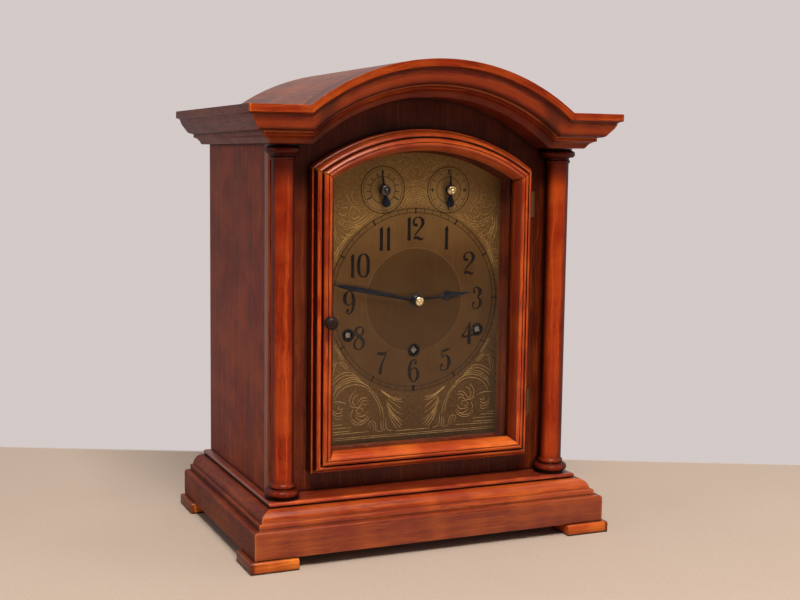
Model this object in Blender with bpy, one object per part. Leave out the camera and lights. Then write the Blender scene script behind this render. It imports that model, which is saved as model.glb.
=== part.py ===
"""An architectural mantel clock: arched hood, two columns, glazed door, engraved dial, three-train movement.

Metres, +Z up, the front faces -Y, and the origin is on the floor under the middle of the case.
"""
import math

import bmesh
import bpy
from mathutils import Matrix, Vector

# Clearances
GAP = 0.0003
RUN_GAP = 0.0006

# Case: outer sizes
CASE_HALF_W = 0.146
FRONT_REF_Y = -0.0895
BACK_Y = 0.1235
SIDE_T = 0.010
PANEL_FACE_Y = -0.0673
PANEL_T = 0.0101
SIDE_STRIP_GAP = 0.0003

# Feet
FOOT_OUT = 0.032
FOOT_H = 0.0102
FOOT_LEN = 0.044
FOOT_SOFTEN = 0.0012

# Plinth and base board
PLINTH_OUT = 0.0275
PLINTH_BLOCK_TOP = 0.035
PLINTH_ROUND = 0.0025
PLINTH_FILLET_OUT = 0.0215
PLINTH_FILLET_TOP = 0.0400
PLINTH_OVOLO_OUT = 0.0185
PLINTH_TOP_OUT = 0.0085
PLINTH_TOP_Z = 0.0499
PLINTH_INNER_OUT = 0.003
BASE_OUT = 0.0075
BASE_TOP_Z = 0.054
BASE_T = 0.014
BASE_BEAD = 0.0007

# Cornice and hood
CORNICE_BOTTOM_Z = 0.365
CORNICE_H = 0.0318
CORNICE_OUT = 0.034
ARCH_DROP = 0.1322
SHOULDER_W = 0.0307
ROOF_T = 0.008
ROOF_FRONT_Y = -0.0982
FLANGE_T = 0.0087
FLANGE_REACH = 0.0033
ARCH_STEPS = 28

# Columns
COLUMN_INSET = 0.0095
COLUMN_Y = -0.080
COLUMN_R = 0.0095
COLUMN_TOP_R = 0.0092
COLUMN_RING_R = 0.0158
COLUMN_SMALL_RING_R = 0.0117
COLUMN_RING_H = 0.0084
COLUMN_FOOT_H = 0.0142
COLUMN_STEPS = 20

# Front door
DOOR_MARGIN = 0.0366
DOOR_BOTTOM_Z = 0.0722
DOOR_ARC_R = 0.187
DOOR_ARC_DROP = 0.1717
DOOR_FRAME_W = 0.0194
DOOR_EDGE_T = 0.0096
DOOR_MOULD_H = 0.0119
DOOR_REBATE_W = 0.0158
DOOR_REBATE_LIP = 0.0090
DOOR_ARC_STEPS = 20
GLASS_T = 0.002
DOOR_AXIS_ASIDE = 0.0016
DOOR_AXIS_OUT = 0.0092
KNOB_Z = 0.210
KNOB_INSET = 0.0119
KNOB_R = 0.006
KNOB_LEN = 0.0125
CATCH_DROP = 0.030
CATCH_R = 0.0025
CATCH_LEN = 0.006
CATCH_REACH = 0.001

# Front door hinges
HINGE_KNUCKLE_R = 0.0014
HINGE_PIN_R = 0.0006
HINGE_LEAF_T = 0.0006
HINGE_LEAF_W = 0.008
HINGE_LEN = 0.024
HINGE_LOW_Z = 0.110
HINGE_HIGH_Z = 0.300

# Front panel opening and dial
OPENING_INSET = 0.0218
OPENING_FLARE = 0.0050
OPENING_BOTTOM_Z = 0.091
OPENING_ARC_INSET = 0.0214
DIAL_LAP = 0.0068
DIAL_T = 0.0018
DIAL_CENTRE_Z = 0.2229
WIND_X = 0.0661
WIND_Z = 0.1927
WIND_MID_Z = 0.1758
WIND_HOLE_R = 0.0052
SUBDIAL_X = 0.0332
SUBDIAL_DROP = 0.0339
SUB_HOLE_R = 0.0016
DIAL_FOOT_R = 0.002
DIAL_FOOT_INSET = 0.012

# Hands
HAND_T = 0.0008
HOUR_HAND_R = 0.059
MINUTE_HAND_R = 0.0785
HOUR_HAND_DEG = 84.0
MINUTE_HAND_DEG = 281.5
HOUR_HAND_OUT = 0.0034
MINUTE_HAND_OUT = 0.0066
HAND_HUB_R = 0.0052
NUT_R = 0.0036
NUT_T = 0.0024
SUB_HAND_OUT = 0.0040
SUB_HAND_R = 0.0165
SUB_HUB_R = 0.0028

# Movement plates
PLATE_T = 0.0025
FRONT_PLATE_Y = -0.046
PLATE_GAP = 0.040
PLATE_HALF_W = 0.092
PLATE_BOTTOM_Z = 0.128
PLATE_TOP_Z = 0.294
PILLAR_R = 0.0035
SEAT_T = 0.012
SEAT_LAP = 0.002
PLATE_NECK = 0.036
PLATE_SHOULDER_W = 0.014
PLATE_SHOULDER_H = 0.030
PLATE_SHOULDER_UP = 0.002

# Going train
ARBOR_R = 0.0013
GREAT_TEETH = 72
CENTRE_LEAVES = 6
CENTRE_TEETH = 72
THIRD_LEAVES = 6
THIRD_TEETH = 75
ESCAPE_LEAVES = 6
ESCAPE_TEETH = 30
CENTRE_MODULE = 0.0008
THIRD_MODULE = 0.00062
ESCAPE_R = 0.013
THIRD_X = 0.018
BARREL_R = 0.026
BARREL_WALL = 0.0018
BARREL_ARBOR_R = 0.0045
BARREL_LEN = 0.030
SIDE_BARREL_LEN = 0.026
SIDE_WHEEL_TEETH = 48
SIDE_WHEEL_R = 0.030
SQUARE_HALF = 0.0022
WHEEL_T = 0.0014
RATCHET_R = 0.011
RATCHET_TEETH = 18
PALLET_CLEAR = 0.0012
ANCHOR_RISE = 0.0195

# Motion work
CANNON_LEAVES = 12
MINUTE_WHEEL_TEETH = 36
MINUTE_WHEEL_LEAVES = 10
HOUR_WHEEL_TEETH = 40
MOTION_DISTANCE = 0.015
CANNON_R = 0.0021
HOUR_PIPE_R = 0.0034
HOUR_PIPE_BORE = 0.0025
STUD_R = 0.0009
PIVOT_R = 0.0007

# Pendulum
PENDULUM_Y = 0.011
PENDULUM_ROD_R = 0.0014
PENDULUM_BOB_R = 0.023
PENDULUM_BOB_T = 0.011
PENDULUM_BOB_Z = 0.128
PENDULUM_TAIL = 0.010
RATING_NUT_R = 0.0045
RATING_NUT_H = 0.004
SPRING_T = 0.0007
SPRING_W = 0.0034
COCK_W = 0.016
COCK_RISE = 0.0045
COCK_T = 0.006
COCK_REACH = 0.003
CRUTCH_DROP = 0.045
CRUTCH_W = 0.0032
CRUTCH_T = 0.0014
PRONG_T = 0.0012
PRONG_H = 0.0030

# Chime rods and hammers
ROD_R = 0.0015
ROD_PITCH = 0.012
ROD_COUNT = 4
ROD_Y = 0.052
ROD_Z = 0.072
ROD_BLOCK_W = 0.014
ROD_BLOCK_LAP = 0.010
ROD_BLOCK_RISE = 0.009
ROD_BLOCK_CLEAR = 0.010
ROD_LENGTHS = (0.205, 0.190, 0.176, 0.162)
HAMMER_AXIS_Y = 0.020
HAMMER_AXIS_Z = 0.108
HAMMER_PIN_R = 0.0015
HAMMER_XS = (-0.052, -0.070)
HAMMER_HEAD_R = 0.0045
HAMMER_LIFT_GAP = 0.0015
HAMMER_HEAD_H = 0.019
HAMMER_BOSS_R = 0.0042
HAMMER_BOSS_L = 0.006
HAMMER_WIRE = 0.0022
BRACKET_WING = 0.010
BRACKET_REACH = 0.022
BRACKET_T = 0.002
BRACKET_EAR = 0.004

# Back
BACK_FACE_INSET = 0.005
BACK_T = 0.0095
BACK_OPEN_HALF_W = 0.100
BACK_OPEN_BOTTOM_Z = 0.090
BACK_OPEN_TOP_Z = 0.330
BACK_PIN_R = 0.0015
BACK_PIN_LEN = 0.006
BUTTON_LEN = 0.026
BUTTON_W = 0.008
BUTTON_T = 0.0016
BUTTON_SCREW_R = 0.0024
BUTTON_CLEAR = 0.0065
BUTTON_Z = 0.210

# Worked out from the sizes above
BASE_Z = FOOT_H + GAP
CORNICE_TOP_Z = CORNICE_BOTTOM_Z + CORNICE_H
ARCH_CENTRE_Z = CORNICE_BOTTOM_Z - ARCH_DROP
SHOULDER_X = CASE_HALF_W - SHOULDER_W
ARCH_INNER_R = math.hypot(SHOULDER_X, ARCH_DROP)
ARCH_OUTER_R = ARCH_INNER_R + CORNICE_H
PANEL_BACK_Y = PANEL_FACE_Y + PANEL_T
DIAL_FACE_Y = PANEL_BACK_Y + GAP
DIAL_BACK_Y = DIAL_FACE_Y + DIAL_T
DOOR_BACK_Y = PANEL_FACE_Y - GAP
SIDE_INNER_X = CASE_HALF_W - SIDE_T
DOOR_HALF_W = CASE_HALF_W - DOOR_MARGIN
DOOR_ARC_CENTRE_Z = CORNICE_BOTTOM_Z - DOOR_ARC_DROP
DOOR_AXIS_X = DOOR_HALF_W + DOOR_AXIS_ASIDE
OPENING_HALF_W = DOOR_HALF_W - OPENING_INSET
SUBDIAL_Z = DOOR_ARC_CENTRE_Z + DOOR_ARC_R - OPENING_ARC_INSET - SUBDIAL_DROP
COLUMN_X = CASE_HALF_W - COLUMN_INSET
FLANGE_INNER_X = SHOULDER_X - FLANGE_REACH
ROD_BLOCK_X = -(SIDE_INNER_X - ROD_BLOCK_CLEAR - ROD_BLOCK_W)
BUTTON_X = -(BACK_OPEN_HALF_W + BUTTON_CLEAR)
BACK_OUT_Y = BACK_Y - BACK_FACE_INSET
BACK_IN_Y = BACK_OUT_Y - BACK_T
PLATE_IN_Y = FRONT_PLATE_Y + PLATE_T
REAR_PLATE_Y = PLATE_IN_Y + PLATE_GAP
REAR_PLATE_OUT_Y = REAR_PLATE_Y + PLATE_T
SHELF_Z = CORNICE_TOP_Z - FLANGE_T

for stale in list(bpy.data.objects):
    bpy.data.objects.remove(stale, do_unlink=True)


def new_material(name, colour, roughness, metallic=0.0, alpha=1.0):
    """A plain Principled material in the piece's own colour."""
    material = bpy.data.materials.new(name)
    material.use_nodes = True
    shader = material.node_tree.nodes["Principled BSDF"]
    shader.inputs["Base Color"].default_value = (*colour, 1.0)
    shader.inputs["Roughness"].default_value = roughness
    shader.inputs["Metallic"].default_value = metallic
    shader.inputs["Alpha"].default_value = alpha
    return material


MAHOGANY = new_material("mahogany", (0.28, 0.055, 0.02), 0.28)
DARK_WOOD = new_material("dark_wood", (0.12, 0.03, 0.015), 0.4)
BRASS = new_material("brass", (0.72, 0.52, 0.22), 0.3, 1.0)
DIAL_BRASS = new_material("dial_brass", (0.42, 0.30, 0.14), 0.38, 1.0)
STEEL = new_material("steel", (0.45, 0.46, 0.48), 0.3, 1.0)
BLUED_STEEL = new_material("blued_steel", (0.03, 0.035, 0.06), 0.25, 1.0)
GLASS = new_material("glass", (0.9, 0.95, 0.95), 0.05, 0.0, 0.3)
IRON = new_material("iron", (0.08, 0.08, 0.085), 0.5, 1.0)
EBONISED = new_material("ebonised", (0.03, 0.015, 0.012), 0.3)


def raw_object(name, verts, faces):
    """An object from vertices and faces, its normals turned outwards."""
    mesh = bpy.data.meshes.new(name)
    mesh.from_pydata(verts, [], faces)
    shape = bmesh.new()
    shape.from_mesh(mesh)
    bmesh.ops.recalc_face_normals(shape, faces=shape.faces)
    shape.to_mesh(mesh)
    shape.free()
    obj = bpy.data.objects.new(name, mesh)
    bpy.context.scene.collection.objects.link(obj)
    return obj


def loft(name, rings, closed=False):
    """Skin between rings of equal point counts; the two end rings are capped unless closed."""
    count = len(rings[0])
    verts = [point for ring in rings for point in ring]
    faces = []
    spans = len(rings) if closed else len(rings) - 1
    for r in range(spans):
        low = r * count
        high = ((r + 1) % len(rings)) * count
        for i in range(count):
            j = (i + 1) % count
            faces.append((low + i, low + j, high + j, high + i))
    if not closed:
        faces.append(tuple(range(count)))
        faces.append(tuple((len(rings) - 1) * count + i for i in range(count)))
    return raw_object(name, verts, faces)


def prism(name, outline, axis, low, high):
    """An outline extruded along an axis: outline is (x, y), (x, z) or (y, z) for axis z, y or x."""
    def place(point, level):
        a, b = point
        return {"x": (level, a, b), "y": (a, level, b), "z": (a, b, level)}[axis]
    return loft(name, [[place(p, low) for p in outline], [place(p, high) for p in outline]])


def box(name, low, high):
    """A box between two corners."""
    outline = [(low[0], low[1]), (high[0], low[1]), (high[0], high[1]), (low[0], high[1])]
    return prism(name, outline, "z", low[2], high[2])


def lathe(name, profile, centre, axis="z", steps=16):
    """A turned solid: profile is (radius, height) from end to end, heights along the axis."""
    rings = []
    for k in range(steps):
        angle = 2.0 * math.pi * k / steps
        c, s = math.cos(angle), math.sin(angle)
        ring = []
        for radius, height in profile:
            if axis == "z":
                ring.append((centre[0] + radius * c, centre[1] + radius * s, height))
            elif axis == "y":
                ring.append((centre[0] + radius * c, height, centre[1] + radius * s))
            else:
                ring.append((height, centre[0] + radius * c, centre[1] + radius * s))
        rings.append(ring)
    count = len(profile)
    verts = [point for ring in rings for point in ring]
    faces = []
    for r in range(steps):
        low = r * count
        high = ((r + 1) % steps) * count
        for i in range(count - 1):
            faces.append((low + i, low + i + 1, high + i + 1, high + i))
    faces.append(tuple(r * count for r in range(steps)))
    faces.append(tuple(r * count + count - 1 for r in range(steps)))
    return raw_object(name, verts, faces)


def tube(name, outer, bore, centre, low, high, axis="y", steps=16):
    """A straight tube."""
    rings = []
    for k in range(steps):
        angle = 2.0 * math.pi * k / steps
        c, s = math.cos(angle), math.sin(angle)
        ring = []
        for radius, height in ((outer, low), (outer, high), (bore, high), (bore, low)):
            a, b = centre[0] + radius * c, centre[1] + radius * s
            ring.append({"x": (height, a, b), "y": (a, height, b), "z": (a, b, height)}[axis])
        rings.append(ring)
    return loft(name, rings, closed=True)


def rod(name, radius, centre, low, high, axis="y", steps=16):
    """A straight round bar."""
    return lathe(name, [(radius, low), (radius, high)], centre, axis, steps)


def combine(name, first, others, operation):
    """The first solid with the others added or cut away, as one new object."""
    for other in others:
        step = first.modifiers.new(operation.lower(), "BOOLEAN")
        step.operation = operation
        step.solver = "EXACT"
        step.object = other
    graph = bpy.context.evaluated_depsgraph_get()
    mesh = bpy.data.meshes.new_from_object(first.evaluated_get(graph))
    mesh.name = name
    for used in [first, *others]:
        bpy.data.objects.remove(used, do_unlink=True)
    shape = bmesh.new()
    shape.from_mesh(mesh)
    bmesh.ops.remove_doubles(shape, verts=shape.verts, dist=0.000002)
    bmesh.ops.dissolve_degenerate(shape, edges=shape.edges, dist=0.000002)
    shape.to_mesh(mesh)
    shape.free()
    obj = bpy.data.objects.new(name, mesh)
    bpy.context.scene.collection.objects.link(obj)
    return obj


def fuse(name, pieces):
    """Several overlapping solids made into one."""
    return combine(name, pieces[0], pieces[1:], "UNION")


def carve(name, body, tools):
    """A solid with the tools cut out of it."""
    return combine(name, body, tools, "DIFFERENCE")


def finish(obj, name, material, origin=(0.0, 0.0, 0.0), sharp_deg=32.0):
    """Name a piece, give it its finish and put its origin on its joint."""
    obj.name = name
    obj.data.name = name
    obj.data.materials.clear()
    obj.data.materials.append(material)
    place = Vector(origin)
    obj.data.transform(Matrix.Translation(-place))
    obj.location = place
    obj.data.shade_smooth()
    obj.data.set_sharp_from_angle(angle=math.radians(sharp_deg))
    return obj


def arc_points(radius, centre_z, half_angle, steps):
    """Points on an arch from its left end to its right end, as (x, z)."""
    points = []
    for k in range(steps + 1):
        angle = half_angle * (2.0 * k / steps - 1.0)
        points.append((radius * math.sin(angle), centre_z + radius * math.cos(angle)))
    return points


def arched_outline(half_w, bottom_z, radius, centre_z, steps):
    """A rectangle with an arched top, as (x, z)."""
    arc = arc_points(radius, centre_z, math.asin(half_w / radius), steps)
    return [(half_w, bottom_z), (-half_w, bottom_z)] + arc


def gear_outline(teeth, module, phase, tooth_share=0.36):
    """A toothed outline about the origin, as (x, z); phase is the angle of one tooth from +X."""
    pitch_r = module * teeth / 2.0
    tip_r = pitch_r + 0.85 * module
    root_r = pitch_r - 1.15 * module
    pitch = 2.0 * math.pi / teeth
    root_half = pitch * (tooth_share + 0.12) / 2.0
    tip_half = pitch * (tooth_share - 0.16) / 2.0
    points = []
    for k in range(teeth):
        middle = phase + pitch * k
        for radius, offset in ((root_r, -root_half), (tip_r, -tip_half), (tip_r, tip_half), (root_r, root_half)):
            angle = middle + offset
            points.append((radius * math.cos(angle), radius * math.sin(angle)))
    return points


def meshing_phase(phase, teeth, towards, other_teeth):
    """The phase that puts a gap of the other wheel where this wheel's tooth meets it."""
    turned = phase - towards
    return towards + math.pi + math.pi / other_teeth - turned * teeth / other_teeth


def wheel(name, outline, centre, low, high):
    """A toothed or plain disc on a fore-and-aft axis."""
    moved = [(centre[0] + x, centre[1] + z) for x, z in outline]
    return prism(name, moved, "y", low, high)


def foot(name, side, front):
    """One square pad under a corner of the plinth."""
    outer_x = CASE_HALF_W + FOOT_OUT
    xs = sorted((side * outer_x, side * (outer_x - FOOT_LEN)))
    if front:
        ys = (FRONT_REF_Y - FOOT_OUT, FRONT_REF_Y - FOOT_OUT + FOOT_LEN)
    else:
        ys = (BACK_Y - FOOT_LEN, BACK_Y)
    pad = box(name, (xs[0], ys[0], 0.0), (xs[1], ys[1], FOOT_H))
    soften = pad.modifiers.new("soft_edges", "BEVEL")
    soften.width = FOOT_SOFTEN
    soften.segments = 2
    soften.limit_method = "ANGLE"
    return finish(pad, name, MAHOGANY)


def plinth_profile():
    """The plinth moulding as (out from the case, height), from the bottom up and back inside."""
    top = PLINTH_BLOCK_TOP
    round_r = PLINTH_ROUND
    out = PLINTH_OUT
    points = [(out, BASE_Z), (out, top - round_r)]
    for k in (1, 2, 3):
        angle = math.radians(30.0 * k)
        points.append((out - round_r + round_r * math.cos(angle), top - round_r + round_r * math.sin(angle)))
    points += [(PLINTH_FILLET_OUT, top + GAP), (PLINTH_FILLET_OUT, PLINTH_FILLET_TOP)]
    rise = PLINTH_TOP_Z - PLINTH_FILLET_TOP - GAP
    run = PLINTH_OVOLO_OUT - PLINTH_TOP_OUT
    points.append((PLINTH_OVOLO_OUT + GAP, PLINTH_FILLET_TOP + GAP))
    for k in range(1, 6):
        angle = math.radians(18.0 * k)
        points.append((PLINTH_TOP_OUT + run * math.cos(angle), PLINTH_FILLET_TOP + GAP + rise * math.sin(angle)))
    points += [(PLINTH_INNER_OUT, PLINTH_TOP_Z), (PLINTH_INNER_OUT, BASE_Z)]
    return points


def corner_ring(profile, side, shift=0.0):
    """A moulding's section in the mitre plane of a front corner."""
    return [(side * (CASE_HALF_W + out - shift), FRONT_REF_Y - out, z) for out, z in profile]


def plinth_front():
    """The front board of the plinth, mitred at both ends."""
    profile = plinth_profile()
    board = loft("plinth_front", [corner_ring(profile, -1, GAP), corner_ring(profile, 1, GAP)])
    return finish(board, "plinth_front", MAHOGANY)


def plinth_side(name, side):
    """A side board of the plinth, mitred in front and square behind."""
    profile = plinth_profile()
    back = [(side * (CASE_HALF_W + out), BACK_Y, z) for out, z in profile]
    board = loft(name, [corner_ring(profile, side), back])
    return finish(board, name, MAHOGANY)


def base_board():
    """The floor of the case, with a bead along its edge that shows above the plinth."""
    inner_out = PLINTH_INNER_OUT - GAP
    low = PLINTH_TOP_Z + GAP
    levels = [
        (inner_out, BASE_TOP_Z - BASE_T),
        (inner_out, low),
        (BASE_OUT - BASE_BEAD, low),
        (BASE_OUT, low + BASE_BEAD),
        (BASE_OUT, BASE_TOP_Z - BASE_BEAD),
        (BASE_OUT - BASE_BEAD, BASE_TOP_Z),
    ]
    rings = []
    for out, z in levels:
        x = CASE_HALF_W + out
        y = FRONT_REF_Y - out
        rings.append([(-x, y, z), (x, y, z), (x, BACK_Y, z), (-x, BACK_Y, z)])
    return finish(loft("base_board", rings), "base_board", MAHOGANY)


def side_panel(name, side):
    """A side of the case."""
    xs = sorted((side * CASE_HALF_W, side * SIDE_INNER_X))
    low = (xs[0], PANEL_BACK_Y + SIDE_STRIP_GAP, BASE_TOP_Z + GAP)
    high = (xs[1], BACK_Y, SHELF_Z - GAP)
    return finish(box(name, low, high), name, MAHOGANY)


def head_outline(half_w, bottom_z):
    """A board that fills the case to its arched head, under the shoulders and the roof, as (x, z)."""
    roof_in = ARCH_OUTER_R - ROOF_T - GAP
    neck_x = FLANGE_INNER_X - GAP
    half = math.asin(neck_x / roof_in)
    arc = arc_points(roof_in, ARCH_CENTRE_Z, half, ARCH_STEPS)
    shelf = SHELF_Z - GAP
    return [(half_w, bottom_z), (-half_w, bottom_z), (-half_w, shelf), (-neck_x, shelf)] + arc + [
        (neck_x, shelf), (half_w, shelf)]


def front_panel():
    """The board behind the columns and the door, with the arched dial opening and a dimple for the catch."""
    outline = head_outline(CASE_HALF_W, BASE_TOP_Z + GAP)
    board = prism("front_panel", outline, "y", PANEL_FACE_Y, PANEL_BACK_Y)
    rings = []
    for depth in (-0.5, 1.5):
        grow = OPENING_FLARE * depth
        radius = DOOR_ARC_R - OPENING_ARC_INSET + grow
        hole = arched_outline(
            OPENING_HALF_W + grow, OPENING_BOTTOM_Z - grow, radius, DOOR_ARC_CENTRE_Z, DOOR_ARC_STEPS)
        rings.append([(x, PANEL_BACK_Y - PANEL_T * depth, z) for x, z in hole])
    opening = loft("opening", rings)
    dimple_r = CATCH_R + RUN_GAP
    depth = CATCH_REACH + RUN_GAP
    dimple = rod("dimple", dimple_r, catch_place(), PANEL_FACE_Y - depth, PANEL_FACE_Y + depth, "y", 12)
    return finish(carve("front_panel", board, [opening, dimple]), "front_panel", MAHOGANY)


def catch_place():
    """Where the catch sits in the free stile, as (x, z)."""
    return (-(DOOR_HALF_W - DOOR_REBATE_W / 2.0), KNOB_Z - CATCH_DROP)


def column(name, side):
    """A turned column with a ringed base and capital, flat behind where its rings meet the panel."""
    low = BASE_TOP_Z + GAP
    high = CORNICE_BOTTOM_Z - GAP
    ring, small, foot_h = COLUMN_RING_R, COLUMN_SMALL_RING_R, COLUMN_FOOT_H
    base = [(0.80, 0.0), (0.80, 0.21), (0.95, 0.34), (1.0, 0.60), (0.96, 0.84), (0.86, 1.0)]
    profile = [(ring * share, low + COLUMN_RING_H * rise) for share, rise in base]
    profile += [
        (small * 0.94, low + foot_h * 0.63), (small, low + foot_h * 0.71), (small, low + foot_h * 0.84),
        (small * 0.92, low + foot_h * 0.92), (COLUMN_R, low + foot_h)]
    profile += [
        (COLUMN_TOP_R, high - foot_h), (small * 0.94, high - foot_h * 0.93), (small * 0.97, high - foot_h * 0.82),
        (small * 0.88, high - foot_h * 0.75)]
    profile += [(ring * share, high - COLUMN_RING_H * rise) for share, rise in reversed(base)]
    turned = lathe(name, profile, (side * COLUMN_X, COLUMN_Y), "z", COLUMN_STEPS)
    flat_low = (side * COLUMN_X - 2.0 * ring, PANEL_FACE_Y - GAP, BASE_TOP_Z)
    flat_high = (side * COLUMN_X + 2.0 * ring, PANEL_FACE_Y + ring, CORNICE_BOTTOM_Z)
    return finish(carve(name, turned, [box("flat", flat_low, flat_high)]), name, MAHOGANY)


def cornice_profile():
    """The cornice moulding as (out, height over the cornice's bottom), from the top edge down."""
    shares = [
        (1.000, 1.000), (1.000, 0.802), (0.935, 0.777), (0.882, 0.739), (0.862, 0.660), (0.818, 0.575),
        (0.747, 0.478), (0.682, 0.387), (0.629, 0.343), (0.529, 0.314), (0.485, 0.308), (0.485, 0.208),
        (0.435, 0.195), (0.374, 0.164), (0.315, 0.107), (0.265, 0.028), (0.235, 0.0)]
    return [(CORNICE_OUT * out, CORNICE_H * up) for out, up in shares]


def hood_point(out, rise, part):
    """A point on the arched moulding; part runs from -1 at the left foot of the arch to 1."""
    radius = ARCH_INNER_R + rise
    angle = math.acos((ARCH_DROP + rise) / radius) * part
    return (radius * math.sin(angle), FRONT_REF_Y - out, ARCH_CENTRE_Z + radius * math.cos(angle))


def cornice_front():
    """The front moulding: short shoulders, then the arch, rebated behind for the roof board."""
    profile = cornice_profile() + [(0.0, 0.0), (0.0, CORNICE_H)]
    rings = [[(-(CASE_HALF_W + out - GAP), FRONT_REF_Y - out, CORNICE_BOTTOM_Z + z) for out, z in profile]]
    for k in range(ARCH_STEPS + 1):
        rings.append([hood_point(out, z, 2.0 * k / ARCH_STEPS - 1.0) for out, z in profile])
    rings.append([(CASE_HALF_W + out - GAP, FRONT_REF_Y - out, CORNICE_BOTTOM_Z + z) for out, z in profile])
    moulding = loft("moulding", rings)
    inset = GAP
    end_x = CASE_HALF_W - GAP
    under = arc_points(ARCH_INNER_R + inset, ARCH_CENTRE_Z, math.acos(ARCH_DROP / ARCH_INNER_R), ARCH_STEPS)
    over_r = ARCH_OUTER_R - inset
    over = arc_points(over_r, ARCH_CENTRE_Z, math.acos((ARCH_DROP + CORNICE_H) / ARCH_OUTER_R), ARCH_STEPS)
    low_z = CORNICE_BOTTOM_Z + inset
    high_z = CORNICE_TOP_Z - inset
    outline = [(-end_x, low_z)] + under + [(end_x, low_z), (end_x, high_z)] + over[::-1] + [(-end_x, high_z)]
    block = prism("block", outline, "y", FRONT_REF_Y - inset, PANEL_FACE_Y - GAP)
    whole = fuse("cornice_whole", [moulding, block])
    seat_r = ARCH_OUTER_R - ROOF_T - GAP
    seat_z = CORNICE_TOP_Z + GAP
    seat_x = math.sqrt(seat_r ** 2 - (seat_z - ARCH_CENTRE_Z) ** 2)
    seat = arc_points(seat_r, ARCH_CENTRE_Z, math.asin(seat_x / seat_r), ARCH_STEPS)
    high = ARCH_CENTRE_Z + ARCH_OUTER_R + ROOF_T
    wide = CASE_HALF_W
    rebate = [(-wide, seat_z)] + seat + [(wide, seat_z), (wide, high), (-wide, high)]
    tool = prism("rebate", rebate, "y", ROOF_FRONT_Y - GAP, PANEL_BACK_Y)
    return finish(carve("cornice_front", whole, [tool]), "cornice_front", MAHOGANY)


def cornice_side(name, side):
    """A side return of the cornice, with the flat shoulder board that carries the roof's foot."""
    profile = [(out, CORNICE_BOTTOM_Z + z) for out, z in cornice_profile()]
    profile += [(GAP, CORNICE_BOTTOM_Z), (GAP, CORNICE_TOP_Z)]
    back = [(side * (CASE_HALF_W + out), BACK_Y, z) for out, z in profile]
    moulding = loft("moulding", [corner_ring(profile, side), back])
    xs = sorted((side * (CASE_HALF_W + CORNICE_OUT / 4.0), side * FLANGE_INNER_X))
    shelf = box("shelf", (xs[0], PANEL_FACE_Y, SHELF_Z), (xs[1], BACK_Y - GAP, CORNICE_TOP_Z - GAP))
    return finish(fuse(name, [moulding, shelf]), name, MAHOGANY)


def roof_board():
    """The barrel roof, bent over the case from the front moulding to the back."""
    foot_z = CORNICE_TOP_Z + 2.0 * GAP
    inner_r = ARCH_OUTER_R - ROOF_T
    outer_half = math.acos((foot_z - ARCH_CENTRE_Z) / ARCH_OUTER_R)
    inner_half = math.acos((foot_z - ARCH_CENTRE_Z) / inner_r)
    outline = arc_points(ARCH_OUTER_R, ARCH_CENTRE_Z, outer_half, ARCH_STEPS)
    outline += arc_points(inner_r, ARCH_CENTRE_Z, inner_half, ARCH_STEPS)[::-1]
    return finish(prism("roof_board", outline, "y", ROOF_FRONT_Y, BACK_Y), "roof_board", MAHOGANY)


def door_profile():
    """The door frame's section as (inward from the outer edge, forward of the door's back)."""
    face = [
        (0.0, 0.0), (0.026, 0.092), (0.077, 0.143), (0.098, 0.118), (0.129, 0.303), (0.155, 0.487),
        (0.196, 0.622), (0.268, 0.723), (0.335, 0.731), (0.366, 0.672), (0.392, 0.597), (0.417, 0.664),
        (0.443, 0.866), (0.505, 0.958), (0.608, 1.0), (0.706, 0.983), (0.783, 0.916), (0.84, 0.79),
        (1.0, 0.33)]
    points = [(0.0, 0.0)]
    points += [(DOOR_FRAME_W * inward, DOOR_EDGE_T + DOOR_MOULD_H * forward) for inward, forward in face]
    points += [(DOOR_FRAME_W, DOOR_REBATE_LIP), (DOOR_REBATE_W, DOOR_REBATE_LIP), (DOOR_REBATE_W, 0.0)]
    return points


def door_low_ring(side, shift_x=0.0, shift_z=0.0):
    """The door section in the mitre at a lower corner."""
    ring = []
    for inward, forward in door_profile():
        x = side * (DOOR_HALF_W - inward - shift_x)
        ring.append((x, DOOR_BACK_Y - forward, DOOR_BOTTOM_Z + inward + shift_z))
    return ring


def door_arch_point(inward, forward, part):
    """A point on the door's arched head; part runs from -1 at the left corner to 1."""
    radius = DOOR_ARC_R - inward
    angle = math.asin((DOOR_HALF_W - inward) / radius) * part
    return (radius * math.sin(angle), DOOR_BACK_Y - forward, DOOR_ARC_CENTRE_Z + radius * math.cos(angle))


def door_bottom_rail():
    """The lower rail of the door, mitred at both ends."""
    rings = [door_low_ring(-1, GAP), door_low_ring(1, GAP)]
    return finish(loft("door_rail_bottom", rings), "door_rail_bottom", MAHOGANY, door_origin())


def door_top_rail():
    """The arched head of the door."""
    corner = math.asin(DOOR_HALF_W / DOOR_ARC_R)
    inset = 1.0 - GAP / (DOOR_ARC_R * corner)
    rings = []
    for k in range(DOOR_ARC_STEPS + 1):
        part = (2.0 * k / DOOR_ARC_STEPS - 1.0) * inset
        rings.append([door_arch_point(inward, forward, part) for inward, forward in door_profile()])
    return finish(loft("door_rail_top", rings), "door_rail_top", MAHOGANY, door_origin())


def door_stile(name, side):
    """An upright of the door, mitred at both ends; the free one holds the knob's shank and the catch."""
    upper = []
    for inward, forward in door_profile():
        x, y, z = door_arch_point(inward, forward, side)
        upper.append((x, y, z - GAP))
    stile = loft(name, [door_low_ring(side), upper])
    if side < 0:
        hole_low = DOOR_BACK_Y - CATCH_LEN - GAP
        hole = rod("hole", CATCH_R + GAP, catch_place(), hole_low, DOOR_BACK_Y + GAP, "y", 12)
        stile = carve(name, stile, [hole])
    return finish(stile, name, MAHOGANY, door_origin())


def door_origin():
    """A point on the front door's hinge axis."""
    return (DOOR_AXIS_X, PANEL_FACE_Y - DOOR_AXIS_OUT, DOOR_BOTTOM_Z)


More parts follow.
